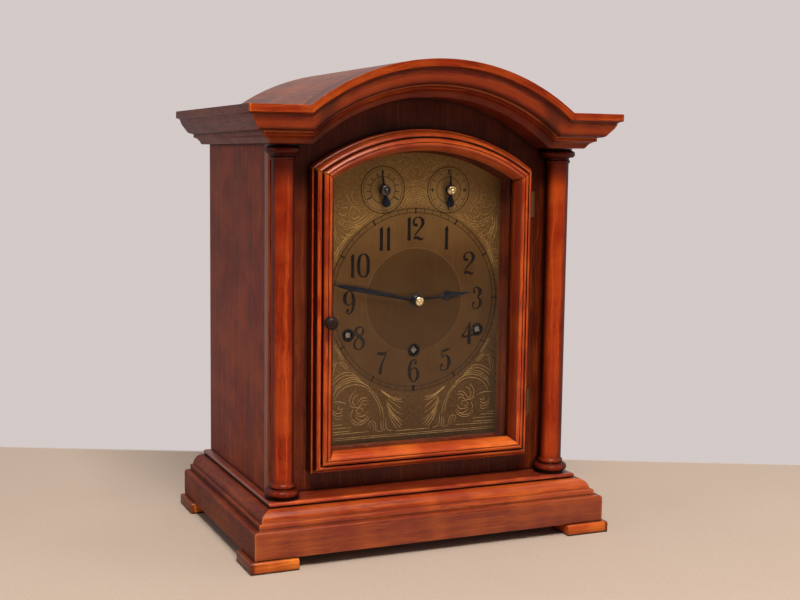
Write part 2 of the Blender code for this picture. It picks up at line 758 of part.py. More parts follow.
def door_glass():
    """The flat pane behind the frame's lip."""
    inset = DOOR_REBATE_W + GAP
    outline = arched_outline(
        DOOR_HALF_W - inset, DOOR_BOTTOM_Z + inset, DOOR_ARC_R - inset, DOOR_ARC_CENTRE_Z, DOOR_ARC_STEPS)
    front = DOOR_BACK_Y - DOOR_REBATE_LIP + GAP
    return finish(prism("door_glass", outline, "y", front, front + GLASS_T), "door_glass", GLASS, door_origin())


def door_knob():
    """The small turned pull on the free stile."""
    seat = DOOR_BACK_Y - DOOR_EDGE_T - DOOR_MOULD_H - GAP
    place = (-(DOOR_HALF_W - KNOB_INSET), KNOB_Z)
    shape = [
        (0.70, 0.0), (0.70, 0.08), (0.42, 0.20), (0.40, 0.34), (0.74, 0.46), (1.0, 0.64), (0.97, 0.80), (0.72, 0.93),
        (0.30, 1.0)]
    profile = [(KNOB_R * share, seat - KNOB_LEN * along) for share, along in shape]
    return finish(lathe("door_knob", profile, place, "y", 16), "door_knob", EBONISED, door_origin())


def door_catch():
    """The round-nosed spring catch in the back of the free stile."""
    tip = DOOR_BACK_Y + CATCH_REACH
    nose = CATCH_R * 0.6
    profile = [(CATCH_R, DOOR_BACK_Y - CATCH_LEN), (CATCH_R, DOOR_BACK_Y), (CATCH_R * 0.9, tip - CATCH_REACH * 0.3),
               (nose, tip)]
    return finish(lathe("door_catch", profile, catch_place(), "y", 12), "door_catch", BRASS, door_origin())


def door_hinge(name, low_z):
    """A cranked butt hinge: a fixed leaf with two knuckles and the pin, and a door leaf with the middle knuckle."""
    axis = (DOOR_AXIS_X, PANEL_FACE_Y - DOOR_AXIS_OUT)
    third = HINGE_LEN / 3.0
    high_z = low_z + HINGE_LEN
    seat = PANEL_FACE_Y - GAP
    half_t = HINGE_LEAF_T / 2.0
    web = box("web", (axis[0] - half_t, axis[1], low_z), (axis[0] + half_t, seat, high_z))
    flange = box("flange", (axis[0] - half_t, seat - HINGE_LEAF_T, low_z), (axis[0] + HINGE_LEAF_W, seat, high_z))
    notch = box(
        "notch", (axis[0] - 2.0 * HINGE_KNUCKLE_R, axis[1] - GAP, low_z + third - GAP),
        (axis[0] + 2.0 * HINGE_KNUCKLE_R, axis[1] + HINGE_KNUCKLE_R + 2.0 * GAP, low_z + 2.0 * third + GAP))
    leaf = carve("leaf", fuse("leaf", [web, flange]), [notch])
    lower = rod("lower", HINGE_KNUCKLE_R, axis, low_z, low_z + third - GAP, "z", 12)
    upper = rod("upper", HINGE_KNUCKLE_R, axis, low_z + 2.0 * third + GAP, high_z, "z", 12)
    pin = rod("pin", HINGE_PIN_R, axis, low_z + third / 2.0, high_z - third / 2.0, "z", 12)
    finish(fuse(name + "_fixed_leaf", [leaf, lower, upper, pin]), name + "_fixed_leaf", BRASS)
    bore = HINGE_PIN_R + GAP / 2.0
    knuckle = tube("knuckle", HINGE_KNUCKLE_R, bore, axis, low_z + third, low_z + 2.0 * third, "z", 12)
    leaf_x = DOOR_HALF_W + GAP
    clear_y = axis[1] + HINGE_KNUCKLE_R + GAP
    wing = box("wing", (leaf_x, clear_y, low_z), (leaf_x + HINGE_LEAF_T, seat - HINGE_LEAF_T - GAP, high_z))
    neck = box("neck", (leaf_x, axis[1] + HINGE_PIN_R * 1.5, low_z + third),
               (leaf_x + HINGE_LEAF_T, clear_y + HINGE_LEAF_T, low_z + 2.0 * third))
    moving = fuse(name + "_door_leaf", [wing, neck, knuckle])
    finish(moving, name + "_door_leaf", BRASS, door_origin())


def dial_plate():
    """The engraved plate, with its arbor and winding holes and four feet on its back."""
    half = OPENING_HALF_W + DIAL_LAP
    low = OPENING_BOTTOM_Z - DIAL_LAP
    radius = DOOR_ARC_R - OPENING_ARC_INSET + DIAL_LAP
    outline = arched_outline(half, low, radius, DOOR_ARC_CENTRE_Z, DOOR_ARC_STEPS)
    plate = prism("plate", outline, "y", DIAL_FACE_Y, DIAL_BACK_Y)
    near, far = DIAL_FACE_Y - DIAL_T, DIAL_BACK_Y + DIAL_T
    tools = [rod("centre", HOUR_PIPE_R + RUN_GAP, (0.0, DIAL_CENTRE_Z), near, far)]
    for x, z in wind_places():
        tools.append(rod("wind", WIND_HOLE_R, (x, z), near, far, "y", 20))
    for side in (-1, 1):
        tools.append(rod("sub", SUB_HOLE_R, (side * SUBDIAL_X, SUBDIAL_Z), near, far, "y", 12))
    plate = carve("plate", plate, tools)
    feet = []
    for x, z in dial_foot_places():
        feet.append(rod("foot", DIAL_FOOT_R, (x, z), DIAL_BACK_Y - DIAL_T / 2.0, FRONT_PLATE_Y - GAP, "y", 10))
    return finish(fuse("dial_plate", [plate, *feet]), "dial_plate", DIAL_BRASS)


def wind_places():
    """The three winding arbors as (x, z): strike, going, chime."""
    return [(-WIND_X, WIND_Z), (0.0, WIND_MID_Z), (WIND_X, WIND_Z)]


def dial_foot_places():
    """The four dial feet as (x, z), each over the front plate."""
    wide = PLATE_HALF_W * 0.86
    neck = PLATE_NECK * 0.79
    low = PLATE_BOTTOM_Z + DIAL_FOOT_INSET
    high = PLATE_TOP_Z - DIAL_FOOT_INSET
    return [(-wide, low), (wide, low), (-neck, high), (neck, high)]


def turned_outline(outline, degrees, centre):
    """A hand's outline, drawn upright about its arbor, turned clockwise and moved to its place."""
    angle = math.radians(degrees)
    c, s = math.cos(angle), math.sin(angle)
    return [(centre[0] + x * c + z * s, centre[1] + z * c - x * s) for x, z in outline]


def mirrored_outline(right):
    """A symmetric outline from its right half, listed from the bottom to the tip."""
    left = [(-x, z) for x, z in reversed(right) if x > 0.0]
    return right + left


def hub_arc(radius, start_deg, end_deg, steps):
    """Part of a hub's circle, its angles counted from straight down, to the right."""
    points = []
    for k in range(steps + 1):
        angle = math.radians(start_deg + (end_deg - start_deg) * k / steps)
        points.append((radius * math.sin(angle), -radius * math.cos(angle)))
    return points


def hour_hand():
    """The hour hand: a thin stem, a heart-like swell and a long point."""
    reach = HOUR_HAND_R
    right = hub_arc(HAND_HUB_R, 0.0, 160.0, 7)
    right += [
        (0.0011, reach * 0.16), (0.0010, reach * 0.50), (0.0030, reach * 0.56), (0.0042, reach * 0.63),
        (0.0036, reach * 0.69), (0.0016, reach * 0.75), (0.0007, reach * 0.84), (0.0, reach)]
    outline = turned_outline(mirrored_outline(right), HOUR_HAND_DEG, (0.0, DIAL_CENTRE_Z))
    near = DIAL_FACE_Y - HOUR_HAND_OUT - HAND_T
    blade = prism("blade", outline, "y", near, near + HAND_T)
    bore = rod("bore", HOUR_PIPE_R + GAP, (0.0, DIAL_CENTRE_Z), near - HAND_T, near + 2.0 * HAND_T)
    return finish(carve("hour_hand", blade, [bore]), "hour_hand", BLUED_STEEL, centre_origin())


def minute_hand():
    """The minute hand: a long lance, widest at its middle."""
    reach = MINUTE_HAND_R
    right = hub_arc(HAND_HUB_R * 0.8, 0.0, 158.0, 7)
    right += [
        (0.0012, reach * 0.10), (0.0016, reach * 0.22), (0.0028, reach * 0.42), (0.0032, reach * 0.50),
        (0.0024, reach * 0.66), (0.0010, reach * 0.86), (0.0, reach)]
    outline = turned_outline(mirrored_outline(right), MINUTE_HAND_DEG, (0.0, DIAL_CENTRE_Z))
    near = DIAL_FACE_Y - MINUTE_HAND_OUT - HAND_T
    blade = prism("blade", outline, "y", near, near + HAND_T)
    bore = rod("bore", ARBOR_R + GAP, (0.0, DIAL_CENTRE_Z), near - HAND_T, near + 2.0 * HAND_T, "y", 12)
    return finish(carve("minute_hand", blade, [bore]), "minute_hand", BLUED_STEEL, centre_origin())


def centre_origin():
    """A point on the hands' arbor."""
    return (0.0, DIAL_FACE_Y, DIAL_CENTRE_Z)


def hand_nut():
    """The domed nut that holds the minute hand."""
    back = DIAL_FACE_Y - MINUTE_HAND_OUT - HAND_T - GAP
    bore = ARBOR_R + GAP
    rings = []
    section = [(bore, back), (NUT_R, back), (NUT_R, back - NUT_T * 0.5), (NUT_R * 0.78, back - NUT_T * 0.9),
               (bore, back - NUT_T)]
    steps = 16
    for k in range(steps):
        angle = 2.0 * math.pi * k / steps
        rings.append([(r * math.cos(angle), y, DIAL_CENTRE_Z + r * math.sin(angle)) for r, y in section])
    return finish(loft("hand_nut", rings, closed=True), "hand_nut", BRASS, centre_origin())


def sub_hand(name, side, material):
    """A small pointer with its arbor through the dial and its domed hub."""
    place = (side * SUBDIAL_X, SUBDIAL_Z)
    reach = SUB_HAND_R
    right = [
        (0.0, -reach * 0.62), (0.0016, -reach * 0.56), (0.0023, -reach * 0.44), (0.0016, -reach * 0.28),
        (0.0013, -reach * 0.14), (0.0012, reach * 0.14), (0.0008, reach * 0.36), (0.0, reach)]
    near = DIAL_FACE_Y - SUB_HAND_OUT
    outline = turned_outline(mirrored_outline(right), 0.0, place)
    blade = prism("blade", outline, "y", near, near + HAND_T)
    arbor = rod("arbor", SUB_HOLE_R - GAP, place, near - HAND_T, DIAL_BACK_Y + DIAL_T, "y", 10)
    hub = lathe(
        "hub", [(SUB_HUB_R, near + 2.0 * HAND_T), (SUB_HUB_R, near - HAND_T), (SUB_HUB_R * 0.7, near - 2.4 * HAND_T),
                (SUB_HUB_R * 0.3, near - 3.0 * HAND_T)], place, "y", 14)
    origin = (place[0], DIAL_FACE_Y, place[1])
    return finish(fuse(name, [hub, blade, arbor]), name, material, origin)


def plate_outline():
    """A movement plate, wide over the barrels and narrow above, as (x, z)."""
    wide, low, high, neck = PLATE_HALF_W, PLATE_BOTTOM_Z, PLATE_TOP_Z, PLATE_NECK
    shoulder = DIAL_CENTRE_Z + PLATE_SHOULDER_UP
    upper = shoulder + PLATE_SHOULDER_H
    bend = neck + PLATE_SHOULDER_W
    return [(wide, low), (wide, shoulder), (bend, upper), (neck, high), (-neck, high), (-bend, upper),
            (-wide, shoulder), (-wide, low)]


def arbor_places():
    """Every arbor of the movement that pivots in both plates, as (x, z)."""
    return [centre_place(), third_place(), escape_place(), anchor_place()]


def centre_place():
    """The hands' arbor."""
    return (0.0, DIAL_CENTRE_Z)


def third_place():
    """The third arbor, right of and above the centre."""
    distance = CENTRE_MODULE * (CENTRE_TEETH + THIRD_LEAVES) / 2.0
    return (THIRD_X, DIAL_CENTRE_Z + math.sqrt(distance ** 2 - THIRD_X ** 2))


def escape_place():
    """The escape arbor, over the centre."""
    x, z = third_place()
    distance = THIRD_MODULE * (THIRD_TEETH + ESCAPE_LEAVES) / 2.0
    return (0.0, z + math.sqrt(distance ** 2 - x ** 2))


def anchor_place():
    """The anchor's arbor and the pendulum's swing, over the escape wheel."""
    return (0.0, escape_place()[1] + ANCHOR_RISE)


def minute_stud_place():
    """The stud of the minute wheel, right of the centre."""
    return (MOTION_DISTANCE, DIAL_CENTRE_Z)


def front_plate():
    """The front plate, drilled for every arbor, with the minute wheel's stud."""
    plate = prism("plate", plate_outline(), "y", FRONT_PLATE_Y, PLATE_IN_Y)
    near, far = FRONT_PLATE_Y - PLATE_T, PLATE_IN_Y + PLATE_T
    tools = [rod("hole", BARREL_ARBOR_R + RUN_GAP, place, near, far, "y", 16) for place in wind_places()]
    tools.append(rod("hole", ARBOR_R + RUN_GAP, centre_place(), near, far, "y", 12))
    for place in arbor_places()[1:]:
        tools.append(rod("hole", PIVOT_R + GAP, place, near, far, "y", 10))
    plate = carve("plate", plate, tools)
    stud = rod("stud", STUD_R, minute_stud_place(), DIAL_BACK_Y + GAP, FRONT_PLATE_Y + PLATE_T / 2.0, "y", 10)
    return finish(fuse("movement_front_plate", [plate, stud]), "movement_front_plate", BRASS)


def rear_plate():
    """The rear plate with its four turned pillars."""
    plate = prism("plate", plate_outline(), "y", REAR_PLATE_Y, REAR_PLATE_OUT_Y)
    near, far = REAR_PLATE_Y - PLATE_T, REAR_PLATE_OUT_Y + PLATE_T
    tools = [rod("hole", BARREL_ARBOR_R * 0.7 + RUN_GAP, place, near, far, "y", 12) for place in wind_places()]
    for place in arbor_places()[:3]:
        tools.append(rod("hole", PIVOT_R + GAP, place, near, far, "y", 10))
    tools.append(rod("hole", ARBOR_R + RUN_GAP, anchor_place(), near, far, "y", 12))
    plate = carve("plate", plate, tools)
    wide = PLATE_HALF_W - 2.0 * PILLAR_R
    low = PLATE_BOTTOM_Z + 2.0 * PILLAR_R
    high = PLATE_TOP_Z - 2.0 * PILLAR_R
    pillars = []
    neck = PLATE_NECK - 2.0 * PILLAR_R
    for x, z in ((-wide, low), (wide, low), (-neck, high), (neck, high)):
        pillars.append(rod("pillar", PILLAR_R, (x, z), PLATE_IN_Y + GAP, REAR_PLATE_Y + PLATE_T / 2.0, "y", 12))
    return finish(fuse("movement_back_plate", [plate, *pillars]), "movement_back_plate", BRASS)


def barrel(name, place, teeth, module, wheel_y, length):
    """A spring barrel: a drum open in front, with its toothed great wheel."""
    outer, wall = BARREL_R, BARREL_WALL
    bore = BARREL_ARBOR_R + RUN_GAP
    low, high = DRUM_Y, DRUM_Y + length
    section = [(bore, high), (outer, high), (outer, low), (outer - wall, low), (outer - wall, high - wall),
               (bore, high - wall)]
    steps = 24
    rings = []
    for k in range(steps):
        angle = 2.0 * math.pi * k / steps
        c, s = math.cos(angle), math.sin(angle)
        rings.append([(place[0] + r * c, y, place[1] + r * s) for r, y in section])
    drum = loft("drum", rings, closed=True)
    disc = wheel("disc", gear_outline(teeth, module, 0.0), place, wheel_y, wheel_y + WHEEL_T)
    hole_r = bore if wheel_y > low else outer - wall
    hole = rod("hole", hole_r, place, wheel_y - WHEEL_T, wheel_y + 2.0 * WHEEL_T, "y", 24)
    disc = carve("disc", disc, [hole])
    return finish(fuse(name, [drum, disc]), name, BRASS, (place[0], 0.0, place[1]))


def winding_arbor(name, place):
    """A barrel arbor: winding square in front, ratchet wheel on the front plate, rear pivot."""
    square_front = DIAL_FACE_Y + DIAL_T / 2.0
    square = box(
        "square", (place[0] - SQUARE_HALF, square_front, place[1] - SQUARE_HALF),
        (place[0] + SQUARE_HALF, FRONT_PLATE_Y, place[1] + SQUARE_HALF))
    shaft = lathe(
        "shaft",
        [(BARREL_ARBOR_R, FRONT_PLATE_Y - 2.0 * WHEEL_T), (BARREL_ARBOR_R, REAR_PLATE_Y - GAP),
         (BARREL_ARBOR_R * 0.7, REAR_PLATE_Y - GAP), (BARREL_ARBOR_R * 0.7, REAR_PLATE_OUT_Y)],
        place, "y", 16)
    points = []
    for k in range(RATCHET_TEETH):
        start = 2.0 * math.pi * k / RATCHET_TEETH
        end = start + 2.0 * math.pi * 0.92 / RATCHET_TEETH
        for radius, angle in ((RATCHET_R * 0.86, start), (RATCHET_R, end)):
            points.append((radius * math.cos(angle), radius * math.sin(angle)))
    ratchet = wheel("ratchet", points, place, FRONT_PLATE_Y - GAP - WHEEL_T, FRONT_PLATE_Y - GAP)
    return finish(fuse(name, [shaft, square, ratchet]), name, STEEL, (place[0], 0.0, place[1]))


def great_module():
    """The going great wheel's module, from the distance of its barrel to the centre."""
    return 2.0 * (DIAL_CENTRE_Z - WIND_MID_Z) / (GREAT_TEETH + CENTRE_LEAVES)


def train_phases():
    """Where each toothed wheel of the going train stands so that all of them are in mesh."""
    up = math.pi / 2.0
    great = 0.0
    centre_pinion = meshing_phase(great, GREAT_TEETH, up, CENTRE_LEAVES)
    centre = 0.0
    to_third = math.atan2(third_place()[1] - DIAL_CENTRE_Z, third_place()[0])
    third_pinion = meshing_phase(centre, CENTRE_TEETH, to_third, THIRD_LEAVES)
    third = 0.0
    to_escape = math.atan2(escape_place()[1] - third_place()[1], escape_place()[0] - third_place()[0])
    escape_pinion = meshing_phase(third, THIRD_TEETH, to_escape, ESCAPE_LEAVES)
    return {
        "great": great, "centre_pinion": centre_pinion, "centre": centre, "third_pinion": third_pinion,
        "third": third, "escape_pinion": escape_pinion}


CENTRE_WHEEL_Y = PLATE_IN_Y + 0.0012
THIRD_WHEEL_Y = PLATE_IN_Y + 0.0180
ESCAPE_WHEEL_Y = PLATE_IN_Y + 0.0095
DRUM_Y = PLATE_IN_Y + 0.0062
GREAT_WHEEL_Y = DRUM_Y + BARREL_LEN - WHEEL_T / 2.0
PINION_EXTRA = 0.0006


def arbor_solid(name, place, front, rear):
    """An arbor with thinner pivots at both plates."""
    profile = [
        (PIVOT_R, FRONT_PLATE_Y), (PIVOT_R, PLATE_IN_Y + GAP), (ARBOR_R, front), (ARBOR_R, rear),
        (PIVOT_R, REAR_PLATE_Y - GAP), (PIVOT_R, REAR_PLATE_OUT_Y)]
    return lathe(name, profile, place, "y", 10)


def centre_wheel(phases):
    """The centre arbor, with its pinion behind and its wheel in front."""
    place = centre_place()
    near = DIAL_FACE_Y - MINUTE_HAND_OUT - HAND_T - NUT_T - GAP
    profile = [(ARBOR_R, near), (ARBOR_R, REAR_PLATE_Y - 2.0 * GAP), (PIVOT_R, REAR_PLATE_Y - GAP),
               (PIVOT_R, REAR_PLATE_OUT_Y)]
    arbor = lathe("arbor", profile, place, "y", 10)
    teeth = wheel("teeth", gear_outline(CENTRE_TEETH, CENTRE_MODULE, phases["centre"]), place,
                  CENTRE_WHEEL_Y, CENTRE_WHEEL_Y + WHEEL_T)
    pinion = wheel("pinion", gear_outline(CENTRE_LEAVES, great_module(), phases["centre_pinion"]), place,
                   GREAT_WHEEL_Y - PINION_EXTRA, GREAT_WHEEL_Y + WHEEL_T + PINION_EXTRA)
    return finish(fuse("centre_wheel", [teeth, pinion, arbor]), "centre_wheel", BRASS, centre_origin())


def third_wheel(phases):
    """The third arbor: its pinion meets the centre wheel, its wheel drives the escape pinion."""
    place = third_place()
    arbor = arbor_solid("arbor", place, PLATE_IN_Y + 2.0 * GAP, REAR_PLATE_Y - 2.0 * GAP)
    pinion = wheel("pinion", gear_outline(THIRD_LEAVES, CENTRE_MODULE, phases["third_pinion"]), place,
                   CENTRE_WHEEL_Y - GAP, CENTRE_WHEEL_Y + WHEEL_T + PINION_EXTRA)
    teeth = wheel("teeth", gear_outline(THIRD_TEETH, THIRD_MODULE, phases["third"]), place,
                  THIRD_WHEEL_Y, THIRD_WHEEL_Y + WHEEL_T)
    return finish(fuse("third_wheel", [teeth, pinion, arbor]), "third_wheel", BRASS, (place[0], 0.0, place[1]))


def escape_wheel(phases):
    """The escape arbor with its raked teeth."""
    place = escape_place()
    arbor = arbor_solid("arbor", place, PLATE_IN_Y + 2.0 * GAP, REAR_PLATE_Y - 2.0 * GAP)
    pinion = wheel("pinion", gear_outline(ESCAPE_LEAVES, THIRD_MODULE, phases["escape_pinion"]), place,
                   THIRD_WHEEL_Y - PINION_EXTRA, THIRD_WHEEL_Y + WHEEL_T + PINION_EXTRA)
    points = []
    pitch = 2.0 * math.pi / ESCAPE_TEETH
    for k in range(ESCAPE_TEETH):
        for radius, share in ((ESCAPE_R * 0.82, 0.0), (ESCAPE_R, 0.30), (ESCAPE_R * 0.82, 0.42)):
            angle = -pitch * (k + share)
            points.append((radius * math.cos(angle), radius * math.sin(angle)))
    teeth = wheel("teeth", points, place, ESCAPE_WHEEL_Y, ESCAPE_WHEEL_Y + WHEEL_T)
    return finish(fuse("escape_wheel", [teeth, pinion, arbor]), "escape_wheel", BRASS, (place[0], 0.0, place[1]))


def anchor():
    """The anchor over the escape wheel, its arbor through the rear plate, and the forked crutch behind."""
    place = anchor_place()
    wheel_place = escape_place()
    arbor = lathe(
        "arbor",
        [(PIVOT_R, FRONT_PLATE_Y), (PIVOT_R, PLATE_IN_Y + GAP), (ARBOR_R, PLATE_IN_Y + 2.0 * GAP),
         (ARBOR_R, PENDULUM_Y - PENDULUM_ROD_R - PRONG_T - GAP)], place, "y", 10)
    reach = ESCAPE_R + PALLET_CLEAR
    right = []
    for degrees in (0.0, 40.0, 80.0):
        angle = math.radians(degrees)
        right.append((0.0032 * math.sin(angle), 0.0032 * math.cos(angle)))
    tip_angle = math.radians(46.0)
    tip = (reach * math.cos(tip_angle), wheel_place[1] - place[1] + reach * math.sin(tip_angle))
    right += [(tip[0] + 0.0026, tip[1] + 0.0058), (tip[0] + 0.0014, tip[1]), (tip[0], tip[1] + 0.0004),
              (tip[0] - 0.0004, tip[1] + 0.0042), (0.0040, -0.0030), (0.0, -0.0028)]
    left = [(-x, z) for x, z in reversed(right) if x > 0.0001]
    outline = [(place[0] + x, place[1] + z) for x, z in right + left]
    body = prism("body", outline, "y", ESCAPE_WHEEL_Y - GAP, ESCAPE_WHEEL_Y + WHEEL_T + GAP)
    back = PENDULUM_Y - PENDULUM_ROD_R - PRONG_T
    half_w = CRUTCH_W / 2.0
    front = back - CRUTCH_T
    bottom = place[1] - CRUTCH_DROP
    stem = box("stem", (-half_w, front, bottom), (half_w, back, place[1] + PRONG_H))
    inner = PENDULUM_ROD_R + GAP
    wide = inner + PRONG_T
    top = bottom + PRONG_H
    prongs = []
    for side in (-1, 1):
        xs = sorted((side * inner, side * wide))
        prongs.append(box("prong", (xs[0], front + GAP, bottom), (xs[1], PENDULUM_Y + PENDULUM_ROD_R, top)))
    cross = box("cross", (-wide, front, bottom), (wide, back - GAP, top))
    whole = fuse("anchor", [body, arbor, stem, cross, *prongs])
    return finish(whole, "anchor", STEEL, (place[0], 0.0, place[1]))


def motion_layers():
    """The two layers of the motion work between the dial and the front plate, as their front faces."""
    return (DIAL_BACK_Y + 0.0012, DIAL_BACK_Y + 0.0048)


def cannon_pinion():
    """The pipe that carries the minute hand, with its pinion, friction-tight on the centre arbor."""
    low_layer = motion_layers()[1]
    front = DIAL_FACE_Y - MINUTE_HAND_OUT + GAP
    back = low_layer + WHEEL_T + 0.0006
    module = 2.0 * MOTION_DISTANCE / (CANNON_LEAVES + MINUTE_WHEEL_TEETH)
    bore = ARBOR_R + GAP
    pipe = tube("pipe", CANNON_R, bore, centre_place(), front, back, "y", 14)
    disc = wheel("disc", gear_outline(CANNON_LEAVES, module, 0.0), centre_place(), low_layer, back)
    disc = carve("disc", disc, [rod("hole", bore, centre_place(), low_layer - WHEEL_T, back + WHEEL_T, "y", 14)])
    return finish(fuse("cannon_pinion", [disc, pipe]), "cannon_pinion", STEEL, centre_origin())


def minute_wheel():
    """The minute wheel and its pinion, on the front plate's stud."""
    place = minute_stud_place()
    front_layer, rear_layer = motion_layers()
    module = 2.0 * MOTION_DISTANCE / (CANNON_LEAVES + MINUTE_WHEEL_TEETH)
    phase = meshing_phase(0.0, CANNON_LEAVES, 0.0, MINUTE_WHEEL_TEETH)
    disc = wheel("disc", gear_outline(MINUTE_WHEEL_TEETH, module, phase), place, rear_layer, rear_layer + WHEEL_T)
    fine = 2.0 * MOTION_DISTANCE / (MINUTE_WHEEL_LEAVES + HOUR_WHEEL_TEETH)
    pinion = wheel("pinion", gear_outline(MINUTE_WHEEL_LEAVES, fine, 0.0), place, front_layer,
                   rear_layer + WHEEL_T / 2.0)
    whole = fuse("whole", [disc, pinion])
    hole = rod("hole", STUD_R + GAP, place, front_layer - WHEEL_T, rear_layer + 2.0 * WHEEL_T, "y", 10)
    origin = (place[0], DIAL_FACE_Y, place[1])
    return finish(carve("minute_wheel", whole, [hole]), "minute_wheel", BRASS, origin)


def hour_wheel():
    """The hour wheel and the pipe that carries the hour hand."""
    front_layer = motion_layers()[0]
    fine = 2.0 * MOTION_DISTANCE / (MINUTE_WHEEL_LEAVES + HOUR_WHEEL_TEETH)
    phase = meshing_phase(0.0, MINUTE_WHEEL_LEAVES, math.pi, HOUR_WHEEL_TEETH)
    disc = wheel("disc", gear_outline(HOUR_WHEEL_TEETH, fine, phase), centre_place(), front_layer,
                 front_layer + WHEEL_T)
    hole = rod("hole", HOUR_PIPE_BORE, centre_place(), front_layer - WHEEL_T, front_layer + 2.0 * WHEEL_T, "y", 16)
    disc = carve("disc", disc, [hole])
    front = DIAL_FACE_Y - HOUR_HAND_OUT - HAND_T - GAP
    pipe = tube("pipe", HOUR_PIPE_R, HOUR_PIPE_BORE, centre_place(), front, front_layer + WHEEL_T, "y", 16)
    return finish(fuse("hour_wheel", [disc, pipe]), "hour_wheel", BRASS, centre_origin())


def suspension_cock():
    """The bracket on the rear plate that the pendulum hangs from."""
    low = anchor_place()[1] + COCK_RISE
    high = low + COCK_T
    half_t = SPRING_T / 2.0 + GAP
    half_w = SPRING_W / 2.0 + GAP
    arm = box("arm", (-COCK_W / 2.0, REAR_PLATE_OUT_Y + GAP, low), (COCK_W / 2.0, PENDULUM_Y + COCK_REACH, high))
    slot = box("slot", (-half_t, PENDULUM_Y - half_w, low - GAP), (half_t, PENDULUM_Y + half_w, high + GAP))
    return finish(carve("suspension_cock", arm, [slot]), "suspension_cock", BRASS)


def pendulum_rod():
    """The suspension spring, the rod and the rating nut, in one hanging piece."""
    z = anchor_place()[1]
    half_t, half_w = SPRING_T / 2.0, SPRING_W / 2.0
    bar_top = z - COCK_RISE
    spring = box(
        "spring", (-half_t, PENDULUM_Y - half_w, bar_top - COCK_T), (half_t, PENDULUM_Y + half_w, z + COCK_RISE + COCK_T))
    foot_z = PENDULUM_BOB_Z - PENDULUM_BOB_R - PENDULUM_TAIL
    bar = rod("bar", PENDULUM_ROD_R, (0.0, PENDULUM_Y), foot_z, bar_top, "z", 10)
    nut_top = PENDULUM_BOB_Z - PENDULUM_BOB_R - GAP
    nut = rod("nut", RATING_NUT_R, (0.0, PENDULUM_Y), nut_top - RATING_NUT_H, nut_top, "z", 14)
    return finish(fuse("pendulum_rod", [bar, spring, nut]), "pendulum_rod", STEEL, pendulum_origin())


def pendulum_origin():
    """The middle of the spring's slot, which the pendulum swings about."""
    return (0.0, PENDULUM_Y, anchor_place()[1] + COCK_RISE + COCK_T / 2.0)


def pendulum_bob():
    """The lens-shaped bob on the rod."""
    half = PENDULUM_BOB_T / 2.0
    radius = PENDULUM_BOB_R
    shape = [(0.25, 1.0), (0.60, 0.82), (0.85, 0.50), (1.0, 0.12), (1.0, -0.12), (0.85, -0.50), (0.60, -0.82), (0.25, -1.0)]
    profile = [(radius * share, PENDULUM_Y - half * depth) for share, depth in shape]
    lens = lathe("lens", profile, (0.0, PENDULUM_BOB_Z), "y", 28)
    low, high = PENDULUM_BOB_Z - 2.0 * radius, PENDULUM_BOB_Z + 2.0 * radius
    hole = rod("hole", PENDULUM_ROD_R + GAP, (0.0, PENDULUM_Y), low, high, "z", 10)
    return finish(carve("pendulum_bob", lens, [hole]), "pendulum_bob", BRASS, pendulum_origin())


def seat_board():
    """The shelf between the case sides that the movement stands on."""
    top = PLATE_BOTTOM_Z - GAP
    low = (-(SIDE_INNER_X - GAP), DIAL_BACK_Y + 3.0 * GAP, top - SEAT_T)
    high = (SIDE_INNER_X - GAP, REAR_PLATE_OUT_Y + SEAT_LAP, top)
    return finish(box("seat_board", low, high), "seat_board", DARK_WOOD)


def chime_rods():
    """The iron block on the floor of the case and its four sounding rods."""
    floor = BASE_TOP_Z + GAP
    last_y = ROD_Y + ROD_PITCH * (ROD_COUNT - 1)
    block = box(
        "block", (ROD_BLOCK_X - ROD_BLOCK_W, ROD_Y - ROD_BLOCK_LAP, floor),
        (ROD_BLOCK_X, last_y + ROD_BLOCK_LAP, ROD_Z + ROD_BLOCK_RISE))
    rods = []
    for k in range(ROD_COUNT):
        place = (ROD_Y + ROD_PITCH * k, ROD_Z)
        rods.append(rod("rod", ROD_R, place, ROD_BLOCK_X - ROD_BLOCK_W / 2.0, ROD_BLOCK_X + ROD_LENGTHS[k], "x", 8))
    return finish(fuse("chime_rods", [block, *rods]), "chime_rods", IRON)


def hammer_bracket():
    """The bracket under the seat board with the hammers' pivot pin."""
    top = PLATE_BOTTOM_Z - 2.0 * GAP - SEAT_T
    left, right = min(HAMMER_XS) - BRACKET_WING, max(HAMMER_XS) + BRACKET_WING
    front, ear = REAR_PLATE_OUT_Y - BRACKET_REACH, BRACKET_EAR
    half = BRACKET_T / 2.0
    strap = box("strap", (left, front, top - BRACKET_T), (right, HAMMER_AXIS_Y + ear, top))
    pieces = [strap]
    for x in (left, right - BRACKET_T):
        pieces.append(box(
            "ear", (x, HAMMER_AXIS_Y - ear, HAMMER_AXIS_Z - ear), (x + BRACKET_T, HAMMER_AXIS_Y + ear, top - half)))
    pieces.append(rod("pin", HAMMER_PIN_R, (HAMMER_AXIS_Y, HAMMER_AXIS_Z), left + half, right - half, "x", 12))
    return finish(fuse("hammer_bracket", pieces), "hammer_bracket", STEEL)


